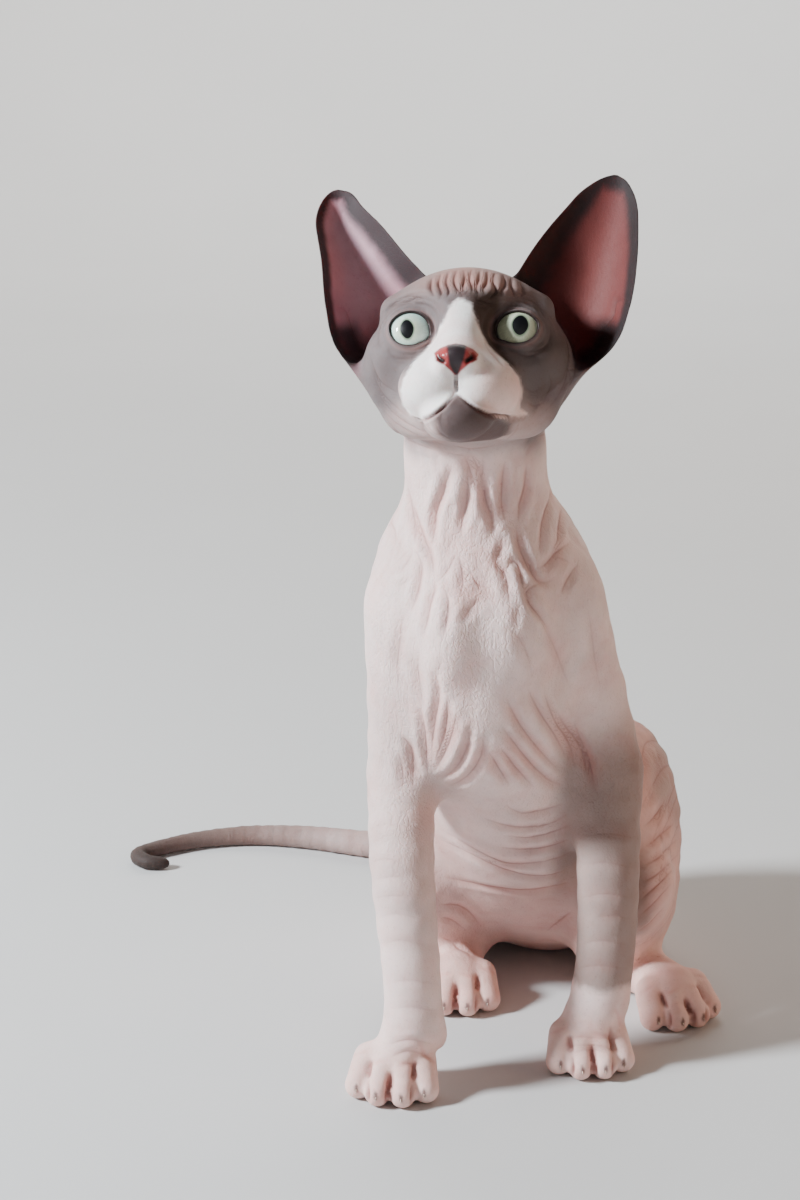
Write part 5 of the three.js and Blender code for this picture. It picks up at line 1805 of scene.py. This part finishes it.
KEPT_AS = {1: ("FLOAT", "value"), 3: ("FLOAT_VECTOR", "vector"), 4: ("FLOAT_COLOR", "color")}


def keep(piece, name, values):
    """Keep a number, a place or a colour for each vertex, which the material reads by name."""
    kind, field = KEPT_AS[1 if values.ndim == 1 else values.shape[1]]
    attribute = piece.data.attributes.new(name, kind, "POINT")
    attribute.data.foreach_set(field, values.ravel().astype(np.float32))


# %% [markdown]
# ## Skin finish
#
# Bare skin is matt, a little see-through, and covered with a down that shows only as a faint
# sheen at its edges. The painted tint is broken up by clouds of pink and by pores, and a fine
# line of painted shade runs along the bottom of each fold, which the bump also sinks. The bump
# has three sizes: the shallow creases that cross each other all over the body, a finer grain,
# and pores. The nose leather and the lids' edges are moist, so they are smoother.

# %% Skin material
skin_finish = Finish("bare_skin", Subsurface_Weight=0.16, Subsurface_Scale=0.003,
                     Subsurface_Radius=(1.0, 0.35, 0.22), Sheen_Weight=0.03, Sheen_Roughness=0.4,
                     Sheen_Tint=(1.0, 0.93, 0.9, 1.0), Specular_IOR_Level=0.26)
place = skin_finish.place()
painted = skin_finish.attribute("tint", "Color")
wrinkled = skin_finish.attribute("fine_wrinkles")
moist = skin_finish.attribute("wet")
aside = skin_finish.attribute("crease_aside")
line = aside.sum("EXPONENT", aside * aside * -7.0) * skin_finish.attribute("crease_strength")
clouds = skin_finish.noise(place, 70.0, 4.0)
speckle = skin_finish.noise(place, 900.0, 2.0, 0.7)
pinker = skin_finish.between(clouds, 0.42, 0.75, 0.0, 0.22)
darker = skin_finish.between(speckle, 0.56, 0.76, 0.0, 0.16)
flushed = skin_finish.blend(pinker, painted, tone(214, 140, 128), "MULTIPLY")
spotted = skin_finish.blend(darker, flushed, tone(150, 104, 96), "MULTIPLY")
# Painted shade: a darker line along the bottom of each fold
crease_shaded = skin_finish.blend(line * 0.35, spotted, tone(150, 100, 92), "MULTIPLY")
skin_finish.feed("Base Color", crease_shaded)
skin_finish.feed("Roughness", 0.6 - moist * 0.34 + speckle * 0.12)
CREASE_STRETCH = (1.0, 1.0, 0.55)
ridges = skin_finish.noise(skin_finish.stretched(place, CREASE_STRETCH), 420.0, 3.0, 0.6)
crease = ridges.sum("ABSOLUTE", ridges - 0.5)
crossed = skin_finish.add("TexVoronoi", {"feature": "DISTANCE_TO_EDGE"}, {"Vector": place, "Scale": 900.0})
pores = skin_finish.noise(place, 2600.0, 2.0, 0.6)
relief = skin_finish.between(crease, 0.0, 0.1) * wrinkled * 0.24
relief = relief + skin_finish.between(crossed, 0.0, 0.16) * 0.05 + pores * 0.05 - line * 0.5
skin_finish.feed("Normal", skin_finish.bump(relief, 0.00045, 0.9))

skin = make_piece("skin", vertices, triangles, skin_finish.material)
keep(skin, "tint", np.column_stack([tint, np.ones(len(tint))]))
keep(skin, "fine_wrinkles", fine_wrinkles)
keep(skin, "wet", wet)
keep(skin, "crease_aside", crease_aside)
keep(skin, "crease_strength", crease_strength * ~is_tucked)
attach(skin, "root")
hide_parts("head", "ear_right", "ear_left", "neck", "torso", "foreleg_right", "forepaw_right",
            "foreleg_left", "forepaw_left", "hind_leg_right", "hind_foot_right", "hind_leg_left",
            "hind_foot_left", "tail_base", "tail_tip")
print("skin piece:", len(triangles), "triangles")

# %% [markdown]
# ## Eyes
#
# Almost all that shows of a cat's eye is iris, under a clear and slightly bulging cornea. The
# ball is a surface turned about its line of sight: one parameter goes round, the other from the
# front to the back. Where each point lies across the line of sight is kept as an attribute, and
# the material draws the upright pupil, the fibres and the dark ring from it, sharp at any size.

# %% Eye shape
PUPIL = {
    # place in the picture, half width and height in millimetres, lean in degrees
    "right": ((407.0, 329.0), 1.9, 2.75, -7.0),
    "left": ((520.3, 324.8), 2.25, 2.95, 4.0),
}
IRIS = {"right": screen(204, 234, 224), "left": screen(210, 218, 186)}
EYE_ROUND, EYE_DOWN = 96, 64
BALL_RADIUS = EYE_RADIUS - 0.05
CORNEA_RISE, CORNEA_SPREAD = 0.38, 0.62


def gaze_of(side):
    """Direction from the eye's middle to the pupil: where the sight line through it meets the ball."""
    middle = from_head(eye_middle(side))
    start, way = line_of_sight(np.array([PUPIL[side][0]]))
    to_middle = middle - start[0]
    near = to_middle @ way[0]
    off = to_middle @ to_middle - near * near
    hit = start[0] + way[0] * (near - math.sqrt(EYE_RADIUS ** 2 - off))
    return middle, (hit - middle) / EYE_RADIUS


def eye_surface(side):
    """Ball turned about the gaze: radius plus a bell of the angle from it, for the cornea."""
    middle, gaze = gaze_of(side)
    up = HEAD_AXES[:, 2] - gaze * (HEAD_AXES[:, 2] @ gaze)
    up /= np.linalg.norm(up)
    right = np.cross(gaze, up)
    off_axis = math.pi * (np.arange(1, EYE_DOWN) / EYE_DOWN) ** 1.5
    around = np.linspace(0, 2 * math.pi, EYE_ROUND, endpoint=False)
    angle, turn = np.meshgrid(off_axis, around, indexing="ij")
    radius = BALL_RADIUS + CORNEA_RISE * bell(angle, CORNEA_SPREAD)
    across = radius * np.sin(angle)
    flat = np.stack([across * np.cos(turn), across * np.sin(turn), radius * np.cos(angle)], axis=-1)
    flat = flat.reshape(-1, 3)
    poles = [[0, 0, BALL_RADIUS + CORNEA_RISE], [0, 0, -BALL_RADIUS]]
    flat = np.vstack([flat, poles])
    return middle + flat[:, :1] * right + flat[:, 1:2] * up + flat[:, 2:] * gaze, flat


def ball_faces(rows, columns):
    """Triangles of a grid that is closed round and at both poles, facing out."""
    grid = np.arange(rows * columns).reshape(rows, columns)
    front, back = rows * columns, rows * columns + 1
    return np.vstack([round_faces(grid)[:, ::-1], fan(front, grid[0])[:, ::-1], fan(back, grid[-1])])


# %% Eye finish
def eye_finish(side):
    """Pupil, iris and ring as functions of the place across the line of sight."""
    _, half_wide, half_high, lean = PUPIL[side]
    pale = IRIS[side]
    finish = Finish(f"eye_{side}", Coat_Weight=1.0, Coat_Roughness=0.03, Coat_IOR=1.38, IOR=1.36)
    spot = finish.attribute("sight", "Vector")
    across, upward = (finish.add("SeparateXYZ", {}, {"Vector": spot}, part) for part in (0, 1))
    c, s = math.cos(math.radians(lean)), math.sin(math.radians(lean))
    wide = (across * c + upward * s) / half_wide
    high = (upward * c - across * s) / half_high
    slit = wide.sum("ABSOLUTE", wide) ** 1.9 + high.sum("ABSOLUTE", high) ** 1.7
    out = (across * across + upward * upward) ** 0.5
    angle = upward.sum("ARCTAN2", upward, across)
    round_place = {"X": angle.sum("COSINE", angle), "Y": angle.sum("SINE", angle), "Z": out * 0.03}
    fibre_place = finish.add("CombineXYZ", {}, round_place)
    fibres = finish.noise(fibre_place, 26.0, 4.0, 0.65)
    clouds = finish.noise(spot, 0.45, 2.0)
    iris = finish.blend(finish.between(out, 2.0, 5.6), tone(206, 214, 184), shade(pale))
    iris = finish.blend(finish.between(clouds, 0.35, 0.7, 0.0, 0.35), iris, shade(pale * 0.78))
    iris = finish.blend(finish.between(fibres, 0.4, 0.72, 0.0, 0.45), iris, shade(pale * 0.5))
    iris = finish.blend(finish.between(out, 5.9, 6.7), iris, tone(40, 52, 48))
    iris = finish.blend(finish.between(slit, 1.5, 1.05, 0.0, 0.75), iris, tone(84, 108, 84))
    pupil = shade((0.002, 0.002, 0.003))
    finish.feed("Base Color", finish.blend(finish.between(slit, 0.94, 1.04), pupil, iris))
    finish.feed("Roughness", 0.32 + fibres * 0.15)
    finish.feed("Normal", finish.bump(fibres * finish.between(slit, 1.0, 1.3), 0.0002, 0.5))
    return finish.material


for side in ("right", "left"):
    points, flat = eye_surface(side)
    eye = make_piece(f"eyeball_{side}", points, ball_faces(EYE_DOWN - 1, EYE_ROUND), eye_finish(side))
    keep(eye, "sight", flat)
    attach(eye, "root")
    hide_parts(f"eye_{side}")
    print(side, "eye looks along", np.round(gaze_of(side)[1], 2))

# %% [markdown]
# ## Claws
#
# The claws are drawn in, and only their tips show at the ends of the toes. Each is a hook: a
# circle that shrinks along a quarter of a ring.

# %% Claw shape
CLAW_ROUND, CLAW_RINGS = 12, 10
CLAW_REACH, CLAW_THICK, CLAW_FLAT = 2.6, 0.62, 0.7
CLAW_DROP = np.array([0, 0, -1.3])


def claw_points(tip_way, side_way, root):
    """Rings that narrow toward the tip, along a bend that drops by t squared."""
    t = np.linspace(0, 1, CLAW_RINGS)[:, None]
    around = np.linspace(0, 2 * math.pi, CLAW_ROUND, endpoint=False)
    radius = CLAW_THICK * (1 - t) ** 0.7 + 0.02
    middle = root + tip_way * (t[..., None] * CLAW_REACH) + CLAW_DROP * (t ** 2)[..., None]
    ring = np.cos(around)[:, None] * side_way * CLAW_FLAT + np.sin(around)[:, None] * np.array([0, 0, 1.0])
    return (middle + ring * radius[..., None]).reshape(-1, 3)


claw_finish = Finish("horn", Roughness=0.3, Coat_Weight=0.3)
claw_place = claw_finish.place()
claw_grain = claw_finish.noise(claw_finish.stretched(claw_place, (1.0, 0.3, 1.0)), 1800.0, 3.0)
claw_share = claw_finish.between(claw_grain, 0.3, 0.7)
claw_finish.feed("Base Color", claw_finish.blend(claw_share, tone(214, 190, 172), tone(150, 116, 102)))
claw_finish.feed("Roughness", 0.28 + claw_grain * 0.16)
claw_places, claw_faces = [], []
for place, aside, reach in every_toe():
    heart = np.array(place(0, 0, 0))
    ahead, across = np.array(place(0, -1, 0)) - heart, np.array(place(1, 0, 0)) - heart
    root = np.array(place(aside, reach + 1.9, 4.9))
    claw_faces.append(ball_faces(CLAW_RINGS, CLAW_ROUND) + sum(len(points) for points in claw_places))
    tip, hidden_end = root + ahead * CLAW_REACH + CLAW_DROP, root - ahead * 0.2
    claw_places.append(np.vstack([claw_points(ahead, across, root), [tip, hidden_end]]))
claw_faces = np.vstack(claw_faces)
claws = make_piece("claws", np.vstack(claw_places), claw_faces, claw_finish.material)
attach(claws, "root")
print(len(claw_places), "claws")

# %% [markdown]
# ## Floor and light
#
# The kitten stands on a plain pale floor that curves up all round, far from it. A cool light from
# above on the left of the picture models the face, a weak warm one fills the other side, one
# from behind draws the edges, and one more is for the backdrop alone.

# %% Stage
COVE_START, COVE_RADIUS, COVE_TOP, FLOOR_ROUND = 1.9, 0.9, 2.8, 96
bend = np.linspace(0, math.pi / 2, 17)
away = np.concatenate([[0.4, 1.1], COVE_START + COVE_RADIUS * np.sin(bend), [COVE_START + COVE_RADIUS]])
rise = np.concatenate([[0.0, 0.0], COVE_RADIUS * (1 - np.cos(bend)), [COVE_TOP]])
around = np.linspace(0, 2 * math.pi, FLOOR_ROUND, endpoint=False)[None, :]
bowl = np.stack([away[:, None] * np.cos(around), away[:, None] * np.sin(around),
                 rise[:, None] + 0 * around], axis=-1)
floor_points = np.vstack([bowl.reshape(-1, 3), [[0, 0, 0]]]) / MM - SHIFT
floor_grid = np.arange(len(away) * FLOOR_ROUND).reshape(len(away), FLOOR_ROUND)
floor_faces = np.vstack([round_faces(floor_grid), fan(floor_grid.size, floor_grid[0])])
floor_finish = Finish("pale_floor", Roughness=0.75)
floor_grain = floor_finish.noise(floor_finish.place(), 3.0, 3.0)
floor_finish.feed("Base Color", floor_finish.blend(floor_grain, tone(196, 195, 194), tone(204, 203, 202)))
floor = make_piece("floor", floor_points, floor_faces, floor_finish.material)


def soft_light(name, place, aim, size, power, colour):
    """A round area light at a place, turned so that it faces its aim."""
    lamp = bpy.data.lights.new(name, "AREA")
    lamp.shape, lamp.size, lamp.energy, lamp.color = "DISK", size, power, colour
    light = bpy.data.objects.new(name, lamp)
    light.location = place
    way = np.array(aim) - np.array(place)
    tilt = math.acos(-way[2] / np.linalg.norm(way))
    light.rotation_euler = (tilt, 0, math.atan2(way[1], way[0]) - math.pi / 2)
    bpy.context.scene.collection.objects.link(light)


LIGHTS = [
    # name, place, aim, width, power in watts, colour
    ("key", (-1.12, -0.34, 0.84), (0.0, -0.03, 0.17), 0.26, 55, (0.88, 0.95, 1.0)),
    ("fill", (1.15, -0.45, 0.42), (0.0, 0.0, 0.16), 0.5, 2.6, (1.0, 0.58, 0.32)),
    ("back", (0.95, 0.75, 0.7), (0.0, 0.0, 0.16), 0.4, 3.0, (1.0, 0.72, 0.48)),
    ("backdrop", (0.0, 1.75, 2.2), (0.0, 3.0, 0.8), 1.6, 80, (1.0, 0.99, 0.97)),
]
for light in LIGHTS:
    soft_light(*light)
world = bpy.data.worlds.new("studio")
world.use_nodes = True
sky = world.node_tree.nodes["Background"].inputs
sky["Color"].default_value = (0.86, 0.88, 0.92, 1.0)
sky["Strength"].default_value = 0.05
bpy.context.scene.world = world
print("stage set")
